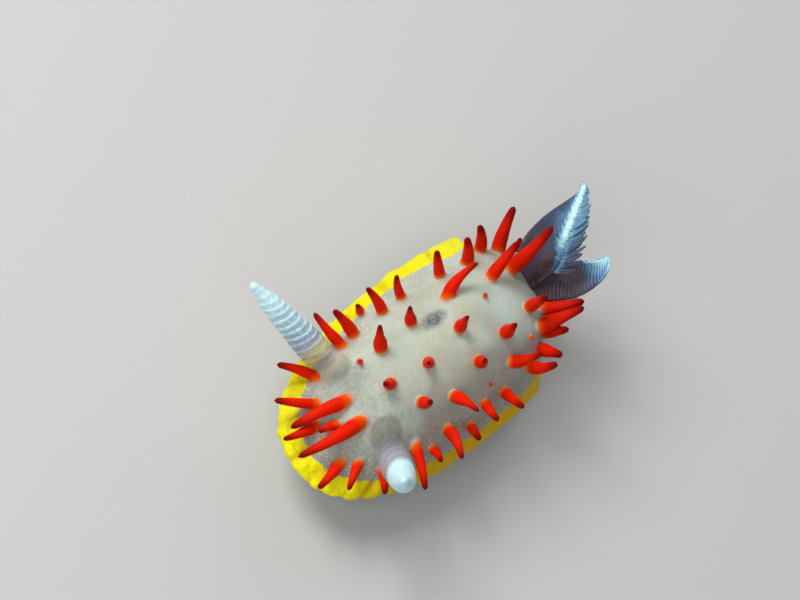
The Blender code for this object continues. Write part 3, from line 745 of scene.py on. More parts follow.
def mantle_skin():
    """The whole upper skin, with the fields that its material reads."""
    shapes = papilla_shapes()
    body = joined_skin(shapes)
    climb, finger, own = papilla_fields(points_of(body), shapes)
    soften_roots(body, climb, own)
    points = points_of(body)
    clock, _ = skin_over(points[:, 0], points[:, 1])
    inward = distance_inward(points)
    band = inward / band_width(clock)
    # painted shade in the band's creases and in its notch
    crease = np.clip(-waves(clock, EDGE_WAVES[2:]) / CREASE_DEPTH, 0, 1) ** 3
    crease = np.maximum(crease, NOTCH_SHADE * near_clock(clock, NOTCH_CLOCK, NOTCH_WIDTH))
    attributes(body, climb=climb / MM, finger=finger, inward=inward / MM, band=band, crease=crease)
    lumps(points, np.where(climb > 0, LUMP_END, band))
    set_points(body, points)
    body.data.shade_smooth()
    return body


# Foot, head and tail

def foot_ring(height, width, front, rear, taper):
    """One level outline of the foot, pointed at the rear."""
    clock = turns(FOOT_SIDES)
    ahead = np.cos(clock)
    y = np.where(ahead > 0, -front * np.abs(ahead) ** FOOT_FRONT_POWER, rear * np.abs(ahead))
    x = np.sin(clock) * np.where(ahead > 0, 1, 1 - taper * ease(-ahead))
    return np.stack([x * width, y, np.full_like(x, height)], axis=-1)


def flesh():
    """Foot, head and tail as one body that rises into the mantle."""
    rings = [foot_ring(*[value * MM for value in sizes], taper) for *sizes, taper in FOOT_LEVELS]
    body = mesh_object("flesh", np.concatenate(rings), ring_faces(len(rings), FOOT_SIDES))
    union(body, [snout(), *[veil_lobe(side) for side in (-1, 1)]])
    relax(body, 0.5 * bell((points_of(body)[:, 1] - NECK) / NECK_WIDTH), NECK_STEPS)
    body.data.shade_smooth()
    return body


def snout():
    """The head: a flattened ball with the line of the mouth pressed in."""
    bm = bmesh.new()
    bmesh.ops.create_uvsphere(bm, u_segments=64, v_segments=32, radius=1)
    bmesh.ops.scale(bm, vec=SNOUT_SIZE, verts=bm.verts)
    for vertex in bm.verts:
        mouth = math.exp(-((vertex.co.z - MOUTH_HEIGHT) / MOUTH_THICKNESS) ** 2)
        mouth *= math.exp(-(vertex.co.x / MOUTH_HALF_WIDTH) ** 4) * (vertex.co.y < 0)
        vertex.co.y += mouth * MOUTH_DEPTH
    bmesh.ops.translate(bm, vec=SNOUT_PLACE, verts=bm.verts)
    for vertex in bm.verts:
        vertex.co.z = max(vertex.co.z, SNOUT_UNDERSIDE)
    mesh = bpy.data.meshes.new("snout")
    bm.to_mesh(mesh)
    bm.free()
    return bpy.data.objects.new("snout", mesh)


def veil_lobe(side):
    """One of the two lobes beside the mouth."""
    root, tip, bend = (Vector((side * x, y, z)) * MM for x, y, z in (VEIL_ROOT, VEIL_TIP, VEIL_BEND))
    path = bezier(root, (root + tip) / 2 + bend, tip, VEIL_RINGS)
    t = np.linspace(0, 1, VEIL_RINGS)
    girth = VEIL_GIRTH * (1 - VEIL_TAPER * t) * rounded(t, VEIL_ROUND_START, 0.002)
    return tube("veil", path, (0, 0, 1), girth, girth * VEIL_FLATNESS, VEIL_SIDES)


# Rhinophores

def rhinophore_root(name):
    """Where a rhinophore leaves the back, the direction that it points in and the skin's normal there."""
    flat, aim, _ = RHINOPHORES[name]
    clock, share = skin_over(flat.x * MM, flat.y * MM)
    return Vector(skin(clock, share)), aim.normalized(), skin_normal(float(clock), float(share))


def lamellae(share, count):
    """Height of the slanting ridges, from 0 to 1, at a share of the rhinophore's length."""
    phase = (share - STALK_SHARE) / ((CLUB_END_SHARE - STALK_SHARE) / count)
    saw = phase - np.floor(phase)
    ridge = bell((saw - LAMELLA_CREST) / np.where(saw < LAMELLA_CREST, LAMELLA_RISE, LAMELLA_FALL))
    return ridge * ease((share - STALK_SHARE) / 0.04) * ease((CLUB_END_SHARE - share) / 0.03)


def club_girth(name, t):
    """Half the width of a rhinophore without its ridges, at shares of its length."""
    widest = (RHINOPHORE_RADIUS + RHINOPHORE_SWELL * ease(t / SWELL_SHARE)) * RHINOPHORE_SIZE[name]
    girth = widest * (1 - RHINOPHORE_TAPER * np.clip(t, 0, 1) ** CLUB_POWER)
    girth = girth * (1 - POINT_TAPER * ease((t - POINT_START) / (1 - POINT_START)))
    return girth * rounded(t, CLUB_ROUND_START, 0.001)


def rhinophore(name):
    """A translucent stalk and a tapering club with slanting ridges."""
    base, axis, _ = rhinophore_root(name)
    _, aim, bend = RHINOPHORES[name]
    back = Vector((0, 1, 0))
    back = (back - axis * back.dot(axis)).normalized()
    side = axis.cross(back)
    t = np.linspace(-RHINOPHORE_SUNK, 1, RHINOPHORE_RINGS)[:, None]
    turn = turns(RHINOPHORE_SIDES)[None]
    slanted = t + LAMELLA_SLANT[name] * np.cos(turn) * ease(t / SLANT_SPAN) * ease((1 - t) / SLANT_SPAN)
    slanted = slanted + LAMELLA_WAVER * np.sin(2 * turn + 23 * t)
    up = np.clip(t, 0, 1)
    white, bright = (
        ease((share - start[name][0]) / start[name][1])
        for share, start in ((slanted, WHITE_FROM), (up, BRIGHT_FROM))
    )
    ridge = lamellae(slanted, LAMELLAE[name]) * mix(*RIDGE_STRENGTH[name], white)
    uneven = np.sin(5 * turn + 9 * t) * np.sin(3 * turn - 40 * t)
    height = 1 + LAMELLA_DEPTH * (ridge - 0.4) * ease(t / 0.1) + CLUB_UNEVEN * uneven
    radius = club_girth(name, t) * height
    centre = np.array(base) + (np.array(aim) * t + np.array(bend) * 4 * t * (1 - t)) * MM
    across = np.array(back) * np.cos(turn)[..., None] + np.array(side) * np.sin(turn)[..., None]
    points = centre[:, None] + across * radius[..., None]
    body = mesh_object(name + "_club", points.reshape(-1, 3), ring_faces(RHINOPHORE_RINGS, RHINOPHORE_SIDES))
    fields = {"ridge": ridge, "height": up, "white": white, "bright": bright}
    attributes(body, **{key: np.broadcast_to(field, ridge.shape).ravel() for key, field in fields.items()})
    return body


# Gills

def curve_through(knots, count):
    """Evenly spaced points on a smooth curve through a few knots."""
    knots = np.array(knots, float)
    padded = np.concatenate([[2 * knots[0] - knots[1]], knots, [2 * knots[-1] - knots[-2]]])
    t = np.linspace(0, 1, KNOT_STEPS, endpoint=False)[:, None]
    points = []
    for a, b, c, d in zip(padded, padded[1:], padded[2:], padded[3:]):
        bend, twist = 2 * a - 5 * b + 4 * c - d, 3 * b - a - 3 * c + d
        points.append(0.5 * (2 * b + (c - a) * t + bend * t ** 2 + twist * t ** 3))
    points = np.concatenate([*points, knots[-1:]])
    steps = lengths(points)
    even = np.linspace(0, steps[-1], count)
    return np.stack([np.interp(even, steps, points[:, k]) for k in range(3)], axis=1)


def in_plane(knots):
    """Points of the picture plane as points of the frame."""
    x, up, front = np.array(knots, float).T
    points = np.array(PLANE_UP) * up[:, None] + np.array(PLANE_FRONT) * front[:, None]
    return (points + np.stack([x, np.zeros_like(x), np.full_like(x, PLANE_HEIGHT)], axis=1)) * MM


class Pieces:
    """Gathers closed tubes and sheets into one mesh, with how pale each of their points is."""

    def __init__(self):
        self.points, self.faces, self.pale, self.total = [], [], [], 0

    def add(self, points, rings, pale):
        sides = len(points) // rings
        self.faces += ring_faces(rings, sides, self.total)
        self.points.append(points)
        self.pale.append(np.broadcast_to(pale, (rings, sides)).ravel())
        self.total += len(points)

    def mesh(self, name):
        body = mesh_object(name, np.concatenate(self.points), self.faces)
        attributes(body, pale=np.concatenate(self.pale))
        return body


def rib(pieces, path, thick, thin, beads, pale):
    """A beaded midrib that tapers to its tip, with its girth in mm."""
    t = np.linspace(0, 1, len(path))
    wander = 3 * np.sin(t * BEAD_WANDER)
    girth = mix(thick, thin, t) * MM
    girth *= 1 + beads * np.sin(t * BEADS + wander) + beads * np.sin(t * BEAD_SWELLS)
    girth *= 0.5 + 0.5 * ease((t - 0.12) / 0.35)
    girth *= rounded(t, 0.96, 0.01)
    shade = pale + 0.5 * beads * np.sin(t * BEADS + 1 + wander)
    points = swept(path, LEAF_FACING, girth, girth * RIB_FLATNESS, RIB_SIDES)
    pieces.add(points, len(path), shade[:, None])


def web(pieces, inner, outer, ribs, strength, pale):
    """A thin sheet between two curves, with fine ribs that slant towards the tip."""
    s = np.linspace(0, 1, WEB_COLUMNS)
    t = np.linspace(0, 1, len(inner))[:, None]
    points = inner[:, None] + (outer - inner)[:, None] * s[None, :, None]
    normal = np.cross(np.gradient(points, axis=0), np.gradient(points, axis=1))
    normal /= np.linalg.norm(normal, axis=2, keepdims=True) + 1e-12
    slanted = t - WEB_SLANT * s ** WEB_SLANT_POWER
    wave = (2 * np.cos(slanted * ribs * math.pi) ** WEB_SHARPNESS - 0.5) * strength
    sag = WEB_SAG * np.sin(math.pi * s) * np.sin(math.pi * t)
    shape = points + normal * (wave * WEB_RIDGE * np.sin(math.pi * t) + sag)[..., None]
    thinning = np.sqrt(np.maximum(1 - (2 * s - 1) ** 4, 0.01))
    thick = normal * WEB_HALF_THICKNESS * thinning[None, :, None]
    ring = np.concatenate([shape + thick, (shape - thick)[:, ::-1]], axis=1)
    line = pale(t, s[None]) + 0.1 * wave
    pieces.add(ring.reshape(-1, 3), len(inner), np.concatenate([line, line[:, ::-1]], axis=1))


def blade(pieces, root, heading, along, facing, length, width, curl, pale, tip_pale):
    """A flat side filament with a wavy edge that curls towards the leaf's tip."""
    s = np.linspace(0, 1, BLADE_RINGS)
    tip = root + (heading + along * curl) * length
    path = bezier(root, root + heading * length * BLADE_KNEE, tip, BLADE_RINGS)
    half = width * (0.5 + 0.5 * np.sin(math.pi * np.minimum(s * 0.75 + 0.12, 1))) * (1 + 0.1 * np.sin(s * 34))
    half *= rounded(s, BLADE_ROUND_START, 0.01)
    rim = ease((np.abs(np.cos(turns(BLADE_SIDES))) - 0.6) / 0.4)[None]
    s = s[:, None]
    shade = pale + 0.22 * rim + tip_pale * ease((s - 0.5) / 0.5) + 0.42 * ease(1 - s / 0.45)
    points = swept(path, facing, half, half * BLADE_FLATNESS, BLADE_SIDES)
    pieces.add(points, BLADE_RINGS, shade)


def blades(pieces, path, side, first, last, count, width, reach, pale, tip_pale):
    """A row of side filaments on one side of a midrib."""
    draw = random.Random(count * 7 + side)
    along, across, out = frames(path, LEAF_FACING)
    for i in range(count):
        share = mix(first, last, (i + draw.uniform(-0.3, 0.3)) / (count - 1))
        share = min(max(share, 0), 1)
        k = int(share * (len(path) - 1))
        lean = mix(0.35, 0.95, share) + draw.uniform(-0.12, 0.12)
        heading = along[k] * lean + across[k] * side + out[k] * draw.uniform(-0.4, 0.1)
        heading /= np.linalg.norm(heading)
        tilt = out[k] + across[k] * draw.uniform(-0.5, 0.5) + along[k] * draw.uniform(-0.1, 0.9)
        length = reach(share) * MM * draw.uniform(0.85, 1.1)
        curl = draw.uniform(0.2, 0.55)
        blade(pieces, path[k], heading, along[k], tilt, length, width * MM, curl, pale(share), tip_pale)


def arch(most, start, end, power=1.0, least=0.0):
    """A filament's reach in mm along a midrib: a stretch of a sine's arch, raised to a power."""
    return lambda share: most * math.sin(math.pi * mix(start, end, share)) ** power + least


def paling(low, more, start, span):
    """How pale a filament is along a midrib, rising from low by more over a span."""
    return lambda share: low + more * float(ease((share - start) / span))


def leaf_1():
    """The tall leaf: a bright midrib, a smooth web on its right and loose side filaments on its left."""
    pieces = Pieces()
    path = in_plane(curve_through(LEAF_1_RIB, LEAF_ROWS))
    edge_path = in_plane(curve_through(LEAF_1_EDGE, SHORT_WEB_ROWS))
    t = np.linspace(0, 1, LEAF_ROWS)
    rib(pieces, path, thick=0.125, thin=0.062, beads=0.14, pale=0.05 + 1.05 * ease((t - 0.12) / 0.62))
    web(
        pieces, path[:SHORT_WEB_ROWS], edge_path, ribs=29, strength=0.15,
        pale=lambda t, s: 0.05 + 0.62 * ease((t - 0.25) / 0.55) * (1 - 0.6 * s ** 0.6),
    )
    blades(
        pieces, path, side=1, first=0.24, last=0.99, count=46, width=0.05,
        reach=arch(0.62, 0.36, 1.0, 0.75), pale=paling(0.16, 0.36, 0.25, 0.5), tip_pale=-0.05,
    )
    blades(
        pieces, path, side=-1, first=0.4, last=0.985, count=34, width=0.03,
        reach=arch(0.26, 0.3, 0.9, 1, 0.02), pale=paling(0.5, 0.35, 0.3, 0.5), tip_pale=-0.4,
    )
    return pieces.mesh("gill_1_leaf")


def leaf_2():
    """The lower leaf, a horn with its midrib along the outer edge."""
    pieces = Pieces()
    path, edge_path = (in_plane(curve_through(knots, LEAF_ROWS)) for knots in (LEAF_2_RIB, LEAF_2_EDGE))
    t = np.linspace(0, 1, LEAF_ROWS)
    rib(pieces, path, thick=0.042, thin=0.035, beads=0.04, pale=0.05 + 0.75 * ease((t - 0.55) / 0.4))
    web(
        pieces, path, edge_path, ribs=25, strength=1.6,
        pale=lambda t, s: 0.02 + 0.33 * ease((t - 0.42) / 0.4) + 0.75 * ease((t - 0.62) / 0.34) * s ** 0.7,
    )
    blades(
        pieces, edge_path, side=-1, first=0.6, last=0.97, count=14, width=0.026,
        reach=lambda share: 0.07, pale=lambda share: 0.6, tip_pale=0.1,
    )
    return pieces.mesh("gill_2_leaf")


def small_leaf(name, angle, tip):
    """One of the low leaves behind, with filaments on both sides."""
    left = Vector((1, 0, 0))
    up = left.cross(GILL_PIT_AXIS)
    angle = math.radians(angle)
    foot = GILL_PIT + (left * math.cos(angle) + up * math.sin(angle)) * GILL_RING_RADIUS
    start, knee = foot - GILL_PIT_AXIS * GILL_PIT_DEPTH, foot + GILL_PIT_AXIS * SMALL_LEAF_RISE
    path = bezier(start, knee, GILL_PIT + tip * MM, SMALL_LEAF_ROWS)
    t = np.linspace(0, 1, SMALL_LEAF_ROWS)
    pieces = Pieces()
    rib(pieces, path, thick=0.09, thin=0.05, beads=0.1, pale=0.15 + 0.8 * ease((t - 0.2) / 0.4))
    for side in (-1, 1):
        blades(
            pieces, path, side, first=0.25, last=0.97, count=16, width=0.062,
            reach=arch(0.42, 0.38, 0.95, 0.9), pale=paling(0.15, 0.4, 0.25, 0.5), tip_pale=0.35,
        )
    return pieces.mesh(name + "_leaf")


# Materials

# soft patches of the back and one painted shadow: place and radii in mm, softness, strength and colour
PATCHES_AND_SHADOW = (
    ((-1.75, -2.5, 2.1), (0.5, 0.6, 0.6), 0.6, 0.75, (0.54, 0.49, 0.36)),
    # painted shadow in a hollow behind the middle of the back
    ((0.25, 1.29, 3.0), (0.5, 0.3, 0.6), 0.7, 0.4, (0.22, 0.18, 0.13)),
    ((0.75, 0.1, 2.8), (0.4, 0.5, 0.6), 0.7, 0.35, (0.52, 0.50, 0.38)),
    ((-0.3, 1.9, 2.9), (0.5, 0.7, 0.6), 0.7, 0.4, (0.50, 0.58, 0.52)),
)
CREAM_MIDDLE = ((-0.1, 0.3, 2.9), (1.3, 2.6, 1.5), 0.6, 0.6)
COOL_REAR = ((0.5, 1.9, 2.6), (1.0, 1.2, 1.2), 0.6, 0.5)
# painted shade of the dark pockets by the rhinophores, the hollows of their sheaths
POCKET_SHADE = (
    ((-1.0, -2.5, 2.4), (0.4, 0.42, 0.6), 0.7, 0.55),
    ((0.73, -2.6, 2.46), (0.45, 0.44, 0.7), 0.14, 0.62),
)
SMUDGE = ((-0.77, 0.15, 2.9), (0.18, 0.36, 0.5), 0.55)
# sizes of the white grains in mm, and the share of them that shows
GRAINS = ((0.045, 0.8), (0.08, 0.35))
SCATTER = (1.0, 0.75, 0.6)
MICRON = 1e-6


class Paint:
    """A material's nodes, each made by one short call that returns its output."""

    def __init__(self, name):
        self.material = bpy.data.materials.new(name)
        self.material.use_nodes = True
        self.tree = self.material.node_tree
        self.shader = self.tree.nodes["Principled BSDF"]

    def put(self, socket, value):
        """Links an output to a socket, or sets a number, vector or colour on the socket itself."""
        if isinstance(value, bpy.types.NodeSocket):
            self.tree.links.new(value, socket)
        elif socket.type == "RGBA":
            socket.default_value = (*value, 1)
        else:
            socket.default_value = value

    def node(self, kind, inputs=(), output=0, **settings):
        made = self.tree.nodes.new(kind)
        for key, value in settings.items():
            setattr(made, key, value)
        for key, value in dict(inputs).items():
            self.put(made.inputs[key], value)
        return made.outputs[output]

    def value(self, name):
        return self.node("ShaderNodeAttribute", output="Fac", attribute_name=name)

    def place(self):
        return self.node("ShaderNodeTexCoord", output="Object")

    def axis(self, letter):
        """How far along an axis of the frame, in mm."""
        along = self.node("ShaderNodeSeparateXYZ", {0: self.place()}, output=letter)
        return self.math("DIVIDE", along, MM)

    def noise(self, size, detail=3.0, rough=0.5, squeeze=None):
        """Noise with features of about size mm, drawn out along an axis whose factor is under 1."""
        place = self.place() if squeeze is None else self.vector("MULTIPLY", self.place(), squeeze)
        inputs = {"Vector": place, "Scale": 1 / (size * MM), "Detail": detail, "Roughness": rough}
        return self.node("ShaderNodeTexNoise", inputs)

    def waver(self, size, amount):
        """Noise that goes both ways from 0."""
        return self.times(self.math("SUBTRACT", self.noise(size, rough=0.6), 0.5), amount)

    def step(self, value, low, high, a=0.0, b=1.0):
        """Smooth step from a to b while the value goes from low to high."""
        inputs = {"Value": value, "From Min": low, "From Max": high, "To Min": a, "To Max": b}
        return self.node("ShaderNodeMapRange", inputs, interpolation_type="SMOOTHSTEP")

    def math(self, operation, a, b=0.0):
        return self.node("ShaderNodeMath", {0: a, 1: b}, operation=operation)

    def times(self, a, b):
        return self.math("MULTIPLY", a, b)

    def blend(self, share, a, b):
        return self.node("ShaderNodeMix", {0: share, 6: a, 7: b}, output=2, data_type="RGBA")

    def layers(self, colour, *coats):
        """Coats laid over a colour one after another, each with the share that it covers."""
        for share, coat in coats:
            colour = self.blend(share, colour, coat)
        return colour

    def vector(self, operation, a, b, output=0):
        return self.node("ShaderNodeVectorMath", {0: a, 1: b}, output=output, operation=operation)

    def spot(self, centre, radii, soft, strength=1.0):
        """As strong as given inside an oval ball round a point in mm, 0 outside."""
        moved = self.vector("SUBTRACT", self.place(), [c * MM for c in centre])
        scaled = self.vector("DIVIDE", moved, [r * MM for r in radii])
        away = self.vector("LENGTH", scaled, (0, 0, 0), "Value")
        return self.step(away, 1 - soft, 1 + soft, strength, 0.0)

    def grains(self, size, share):
        """Small round grains of varied brightness, of which a share shows."""
        apart, tone = (
            self.node("ShaderNodeTexVoronoi", {"Vector": self.place(), "Scale": 1 / (size * MM)}, output)
            for output in ("Distance", "Color")
        )
        pick = self.node("ShaderNodeSeparateColor", {0: tone})
        return self.times(self.step(apart, 0.16, 0.42, 1.0, 0.0), self.step(pick, 1 - share, 1.0))

    def bump(self, height, depth, **below):
        """Bump with a depth in micrometres."""
        inputs = {"Height": height, "Distance": depth * MICRON, "Strength": 1.0, **below}
        return self.node("ShaderNodeBump", inputs)

    def finish(self, colour, roughness=0.4, soft=0.5, depth=0.4, specular=0.3, **others):
        """Sets the shader, where light goes in as deep as given in mm."""
        inputs = {
            "Base Color": colour,
            "Roughness": roughness,
            "Subsurface Weight": soft,
            "Subsurface Radius": SCATTER,
            "Subsurface Scale": depth * MM,
            "Specular IOR Level": specular,
            **others,
        }
        for name, value in inputs.items():
            self.put(self.shader.inputs[name], value)
        return self.material


def flesh_colour(paint, inward):
    """Milky grey-green skin with a cream middle, painted brownish shade on the left slope and on the rear
    slope, and a grainy front.
    """
    across, along = paint.axis("X"), paint.axis("Y")
    # painted shade: the left slope, turned away from the lamps, darker and browner in blotches
    slope_shade_blotches = paint.step(paint.noise(0.5, 4.0, 0.6), 0.3, 0.7, 0.5, 1.0)
    painted_slope_shade = paint.times(paint.step(across, 0.4, 2.0, 0.0, 0.65), slope_shade_blotches)
    left = paint.step(across, 0.5, 1.6, 0.0, 0.8)
    front = paint.math("MAXIMUM", paint.step(along, -2.9, -0.5, 1.0, 0.0), left)
    grainy = paint.step(paint.noise(0.045, 4.0, 0.8), 0.42, 0.64)
    mottle = paint.step(paint.noise(0.13, 4.0, 0.7), 0.46, 0.66, 0.0, 0.38)
    return paint.layers(
        (0.33, 0.38, 0.325),
        (paint.step(paint.noise(0.9, 4.0, 0.6), 0.35, 0.65), (0.44, 0.495, 0.43)),
        (paint.spot(*CREAM_MIDDLE), (0.42, 0.46, 0.345)),
        (paint.step(paint.noise(0.6), 0.46, 0.66, 0.0, 0.5), (0.44, 0.385, 0.26)),
        (paint.spot(*COOL_REAR), (0.42, 0.53, 0.51)),
        # painted shade: the rear slope, turned away from the lamps, darker and browner
        (paint.step(along, 1.9, 3.8, 0.0, 0.6), (0.20, 0.155, 0.13)),
        (painted_slope_shade, (0.21, 0.18, 0.13)),
        (paint.times(paint.step(inward, 0.4, 1.5, 0.7, 0.0), front), (0.24, 0.22, 0.17)),
        (paint.times(grainy, paint.math("ADD", 0.22, paint.times(front, 0.3))), (0.56, 0.60, 0.56)),
        (paint.times(mottle, front), (0.21, 0.19, 0.14)),
    )


def white_grains(paint, colour, inward):
    """White grains in patches, thickest near the band."""
    patch = paint.step(paint.noise(0.4, 2.0), 0.38, 0.6, 0.15, 1.0)
    rim = paint.step(inward, 0.5, 2.0, 1.0, 0.3)
    for size, share in GRAINS:
        white = paint.times(paint.times(paint.grains(size, share), patch), rim)
        colour = paint.blend(white, colour, (0.74, 0.80, 0.80))
    return colour


def marks(paint, colour):
    """The soft patches with one painted shadow, the painted shade of the pockets by the rhinophores and the
    smudge on the back.
    """
    for *place, tone in PATCHES_AND_SHADOW:
        colour = paint.blend(paint.spot(*place), colour, tone)
    pocket_shade_streaks = paint.step(paint.noise(0.12, 3.0, 0.6, (1, 0.2, 1)), 0.3, 0.7, 1.0, 0.75)
    # painted shade of the pockets, in streaks
    for place in POCKET_SHADE:
        colour = paint.blend(paint.times(paint.spot(*place), pocket_shade_streaks), colour, (0.15, 0.145, 0.125))
    cloudy = paint.step(paint.noise(0.1), 0.3, 0.65, 0.5, 0.92)
    return paint.blend(paint.times(paint.spot(*SMUDGE), cloudy), colour, (0.06, 0.075, 0.10))


def papilla_colour(paint, colour):
    """Orange at the root, red above and darker at the tip, fading into the skin, with painted shade darkening
    them towards the rear.
    """
    up = paint.math("ADD", paint.value("climb"), paint.waver(0.05, 0.17))
    red = paint.layers(
        (0.84, 0.17, 0.003),
        (paint.step(up, 0.02, 0.26), (0.70, 0.012, 0.0008)),
        (paint.step(paint.noise(0.06, 2.0), 0.55, 0.72, 0.0, 0.35), (0.76, 0.035, 0.002)),
        # painted shade: papillae towards the rear darker, as the light falls off there
        (paint.step(paint.axis("Y"), 1.8, 3.8, 0.0, 0.5), (0.30, 0.006, 0.001)),
        (paint.step(paint.value("finger"), 0.58, 1.05), (0.15, 0.002, 0.001)),
    )
    return paint.blend(paint.step(up, -0.03, 0.11), colour, red)


def band_colour(paint, colour):
    """The yellow band with its ragged inner edge: painted light brightens its front, it is darker ochre on
    the animal's left, partly its own tone and partly painted shade, and painted shade lies in its creases.
    """
    across, along = paint.axis("X"), paint.axis("Y")
    band = paint.math("ADD", paint.value("band"), paint.waver(0.1, 0.35))
    right = paint.step(across, -1.4, 0.6)
    # painted light: the right of the band's front, which the lamps reach less, made brighter
    front = paint.times(paint.step(along, -4.2, -2.6, 1.0, 0.0), right)
    crease = paint.times(paint.value("crease"), paint.step(paint.noise(0.5, 1.0), 0.4, 0.6, 0.2, 0.6))
    yellow = paint.layers(
        (0.74, 0.69, 0.0),
        # painted light brightening the front
        (front, (1.0, 0.93, 0.0)),
        # darker ochre on the animal's left: partly the band's own tone, partly painted shade of the side
        # turned from the light
        (paint.step(across, 0.9, 2.3, 0.0, 0.9), (0.62, 0.36, 0.0)),
        (paint.step(paint.noise(0.09, 3.0, 0.7), 0.46, 0.72, 0.0, 0.45), (0.60, 0.42, 0.0)),
        # painted shade in the creases
        (crease, (0.42, 0.22, 0.0)),
    )
    return paint.blend(paint.step(band, 0.94, 1.06, 1.0, 0.0), colour, yellow)


def skin_material():
    """Flesh, grains, marks, the yellow band and the red papillae, in that order."""
    paint = Paint("skin")
    inward = paint.value("inward")
    colour = white_grains(paint, flesh_colour(paint, inward), inward)
    colour = papilla_colour(paint, band_colour(paint, marks(paint, colour)))
    grain = paint.bump(paint.noise(0.06, 3.0, 0.6), 12)
    normal = paint.bump(paint.noise(0.35, 2.0), 20, Normal=grain)
    gloss = paint.step(paint.value("climb"), -0.05, 0.15, 0.16, 0.04)
    return paint.finish(colour, roughness=0.45, soft=0.4, depth=0.12, specular=gloss, Normal=normal)


def flesh_material():
    """Pale, cloudy skin of the foot and head with fine white grains."""
    paint = Paint("flesh")
    colour = paint.layers(
        (0.60, 0.62, 0.56),
        (paint.step(paint.noise(0.7), 0.35, 0.65), (0.74, 0.75, 0.70)),
        (paint.times(paint.grains(0.06, 0.3), 0.7), (0.9, 0.93, 0.95)),
    )
    return paint.finish(colour, soft=0.6, depth=0.5, Normal=paint.bump(paint.noise(0.12), 12))


def rhinophore_material():
    """Glassy and lilac below, milky blue-white above, with pale lines along the ridges."""
    paint = Paint("rhinophore")
    height, white = paint.value("height"), paint.value("white")
    net = paint.step(paint.noise(0.07, 4.0, 0.7), 0.36, 0.64)
    line = paint.times(paint.value("ridge"), paint.step(paint.noise(0.2, 2.0), 0.3, 0.6, 0.2, 0.8))
    spots = paint.step(paint.noise(0.11, 2.0, 0.6), 0.5, 0.68, 0.0, 0.75)
    glassy = paint.layers(
        (0.30, 0.29, 0.34),
        (net, (0.36, 0.36, 0.44)),
        (line, (0.50, 0.53, 0.68)),
        (paint.step(height, 0.0, 0.16, 1.0, 0.0), (0.42, 0.38, 0.32)),
    )
    milky = paint.layers(
        (0.25, 0.38, 0.48),
        (net, (0.42, 0.62, 0.72)),
        (paint.times(paint.value("bright"), 0.85), (0.56, 0.85, 0.90)),
        (line, (0.68, 0.90, 0.95)),
        (paint.times(spots, height), (0.82, 0.98, 0.99)),
    )
    clear = paint.math("ADD", paint.step(height, 0.07, 0.41, 0.08, 0.85), paint.times(line, 0.38))
    alpha = paint.math("MAXIMUM", clear, white)
    colour = paint.blend(white, glassy, milky)
    normal = paint.bump(paint.noise(0.05), 6)
    return paint.finish(colour, depth=0.12, specular=0.2, Normal=normal, Alpha=alpha)


def gill_material():
    """Dark and glassy at a leaf's root, blue further out and white at its tip."""
    paint = Paint("gill")
    pale = paint.math("ADD", paint.value("pale"), paint.times(paint.noise(0.12), 0.15))
    pale = paint.math("ADD", pale, paint.waver(0.35, 0.35))
    colour = paint.layers(
        (0.075, 0.034, 0.042),
        (paint.step(pale, 0.08, 0.28), (0.045, 0.065, 0.13)),
        (paint.step(pale, 0.28, 0.6), (0.12, 0.29, 0.46)),
        (paint.step(pale, 0.6, 1.05), (0.56, 0.92, 0.99)),
    )
    alpha = paint.step(pale, 0.1, 0.8, 0.78, 1.0)
    normal = paint.bump(paint.noise(0.05, 2.0), 4)
    return paint.finish(colour, soft=0.25, depth=0.08, specular=0.2, Normal=normal, Alpha=alpha)


# Studio

# lamps: name, place and size in mm, power in watts and colour
LAMPS = (
    ("key", (-75, -15, 75), 55, 0.095, (1.0, 0.99, 0.96)),
    ("fill", (5, -70, 70), 90, 0.038, (0.95, 0.97, 1.0)),
    ("back", (-40, 75, 50), 60, 0.02, (0.95, 0.98, 1.0)),
)
LAMP_AIM = Vector((0, 0, 1 * MM))
FLOOR_GREY = (0.52, 0.52, 0.51)
SKY = (0.95, 0.97, 1.0, 1)
SKY_STRENGTH = 0.3


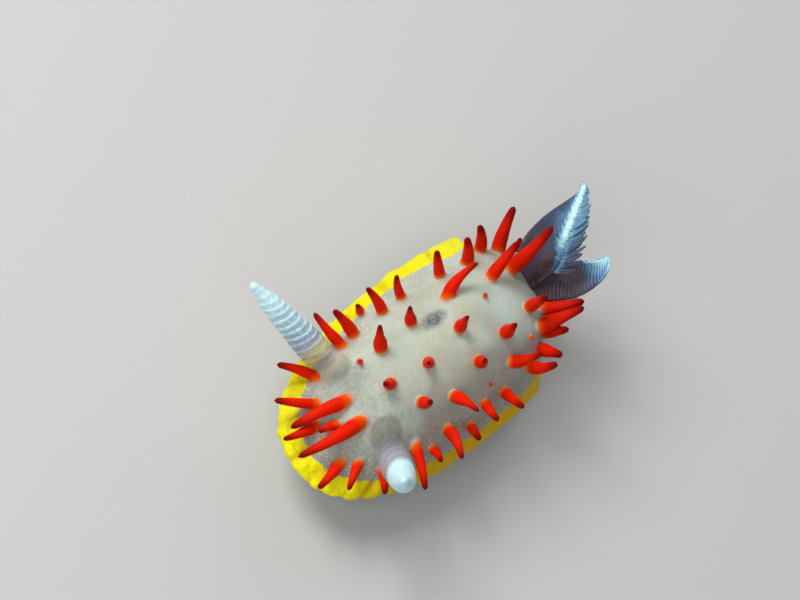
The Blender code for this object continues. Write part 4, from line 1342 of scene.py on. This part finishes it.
def camera():
    data = bpy.data.cameras.new("camera")
    data.sensor_width = SENSOR_WIDTH
    data.lens = SENSOR_WIDTH * CAMERA_DISTANCE / FRAME_WIDTH
    data.clip_start = 1 * MM
    data.clip_end = 10
    body = bpy.data.objects.new("camera", data)
    up = math.radians(VIEW_UP)
    towards = Vector((0, -math.cos(up), math.sin(up)))
    level = Matrix((Vector((1, 0, 0)), towards.cross(Vector((1, 0, 0))), towards)).transposed()
    roll = Matrix.Rotation(math.radians(VIEW_ROLL), 3, "Z")
    body.matrix_world = Matrix.Translation(LOOK_AT + towards * CAMERA_DISTANCE) @ (level @ roll).to_4x4()
    link(body)
    bpy.context.scene.camera = body


def lamp(name, place, size, power, colour):
    data = bpy.data.lights.new(name, "AREA")
    data.shape = "DISK"
    data.size = size * MM
    data.energy = power
    data.color = colour
    body = bpy.data.objects.new(name, data)
    body.location = Vector(place) * MM
    body.rotation_euler = (LAMP_AIM - body.location).to_track_quat("-Z", "Y").to_euler()
    link(body)


def studio():
    """A plain pale floor, a soft sky and the lamps."""
    bm = bmesh.new()
    bmesh.ops.create_grid(bm, x_segments=1, y_segments=1, size=1.0)
    mesh = bpy.data.meshes.new("floor")
    bm.to_mesh(mesh)
    bm.free()
    floor = bpy.data.objects.new("floor", mesh)
    link(floor)
    floor.data.materials.append(Paint("floor").finish(FLOOR_GREY, roughness=0.8, soft=0.0))
    world = bpy.data.worlds.new("studio")
    world.use_nodes = True
    sky = world.node_tree.nodes["Background"].inputs
    sky["Color"].default_value = SKY
    sky["Strength"].default_value = SKY_STRENGTH
    bpy.context.scene.world = world
    for values in LAMPS:
        lamp(*values)
    bpy.context.scene.view_settings.view_transform = "Standard"


def dress(body, material, slot, *nodes):
    body.data.materials.clear()
    body.data.materials.append(material)
    if body.name not in bpy.context.scene.collection.objects:
        link(body)
    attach(body, "root")
    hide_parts(*nodes)


def main():
    camera()
    studio()
    margins = ("margin_front", "margin_left", "margin_rear", "margin_right")
    dress(mantle_skin(), skin_material(), "skin", "mantle", *margins)
    dress(flesh(), flesh_material(), "foot", "foot", "tail", "head")
    feeler = rhinophore_material()
    for name in RHINOPHORES:
        dress(rhinophore(name), feeler, "rhinophore", name)
    leaf = gill_material()
    dress(leaf_1(), leaf, "gill", "gill_1")
    dress(leaf_2(), leaf, "gill", "gill_2")
    for name, angle, tip in SMALL_GILLS:
        dress(small_leaf(name, angle, tip), leaf, "gill", name)


main()
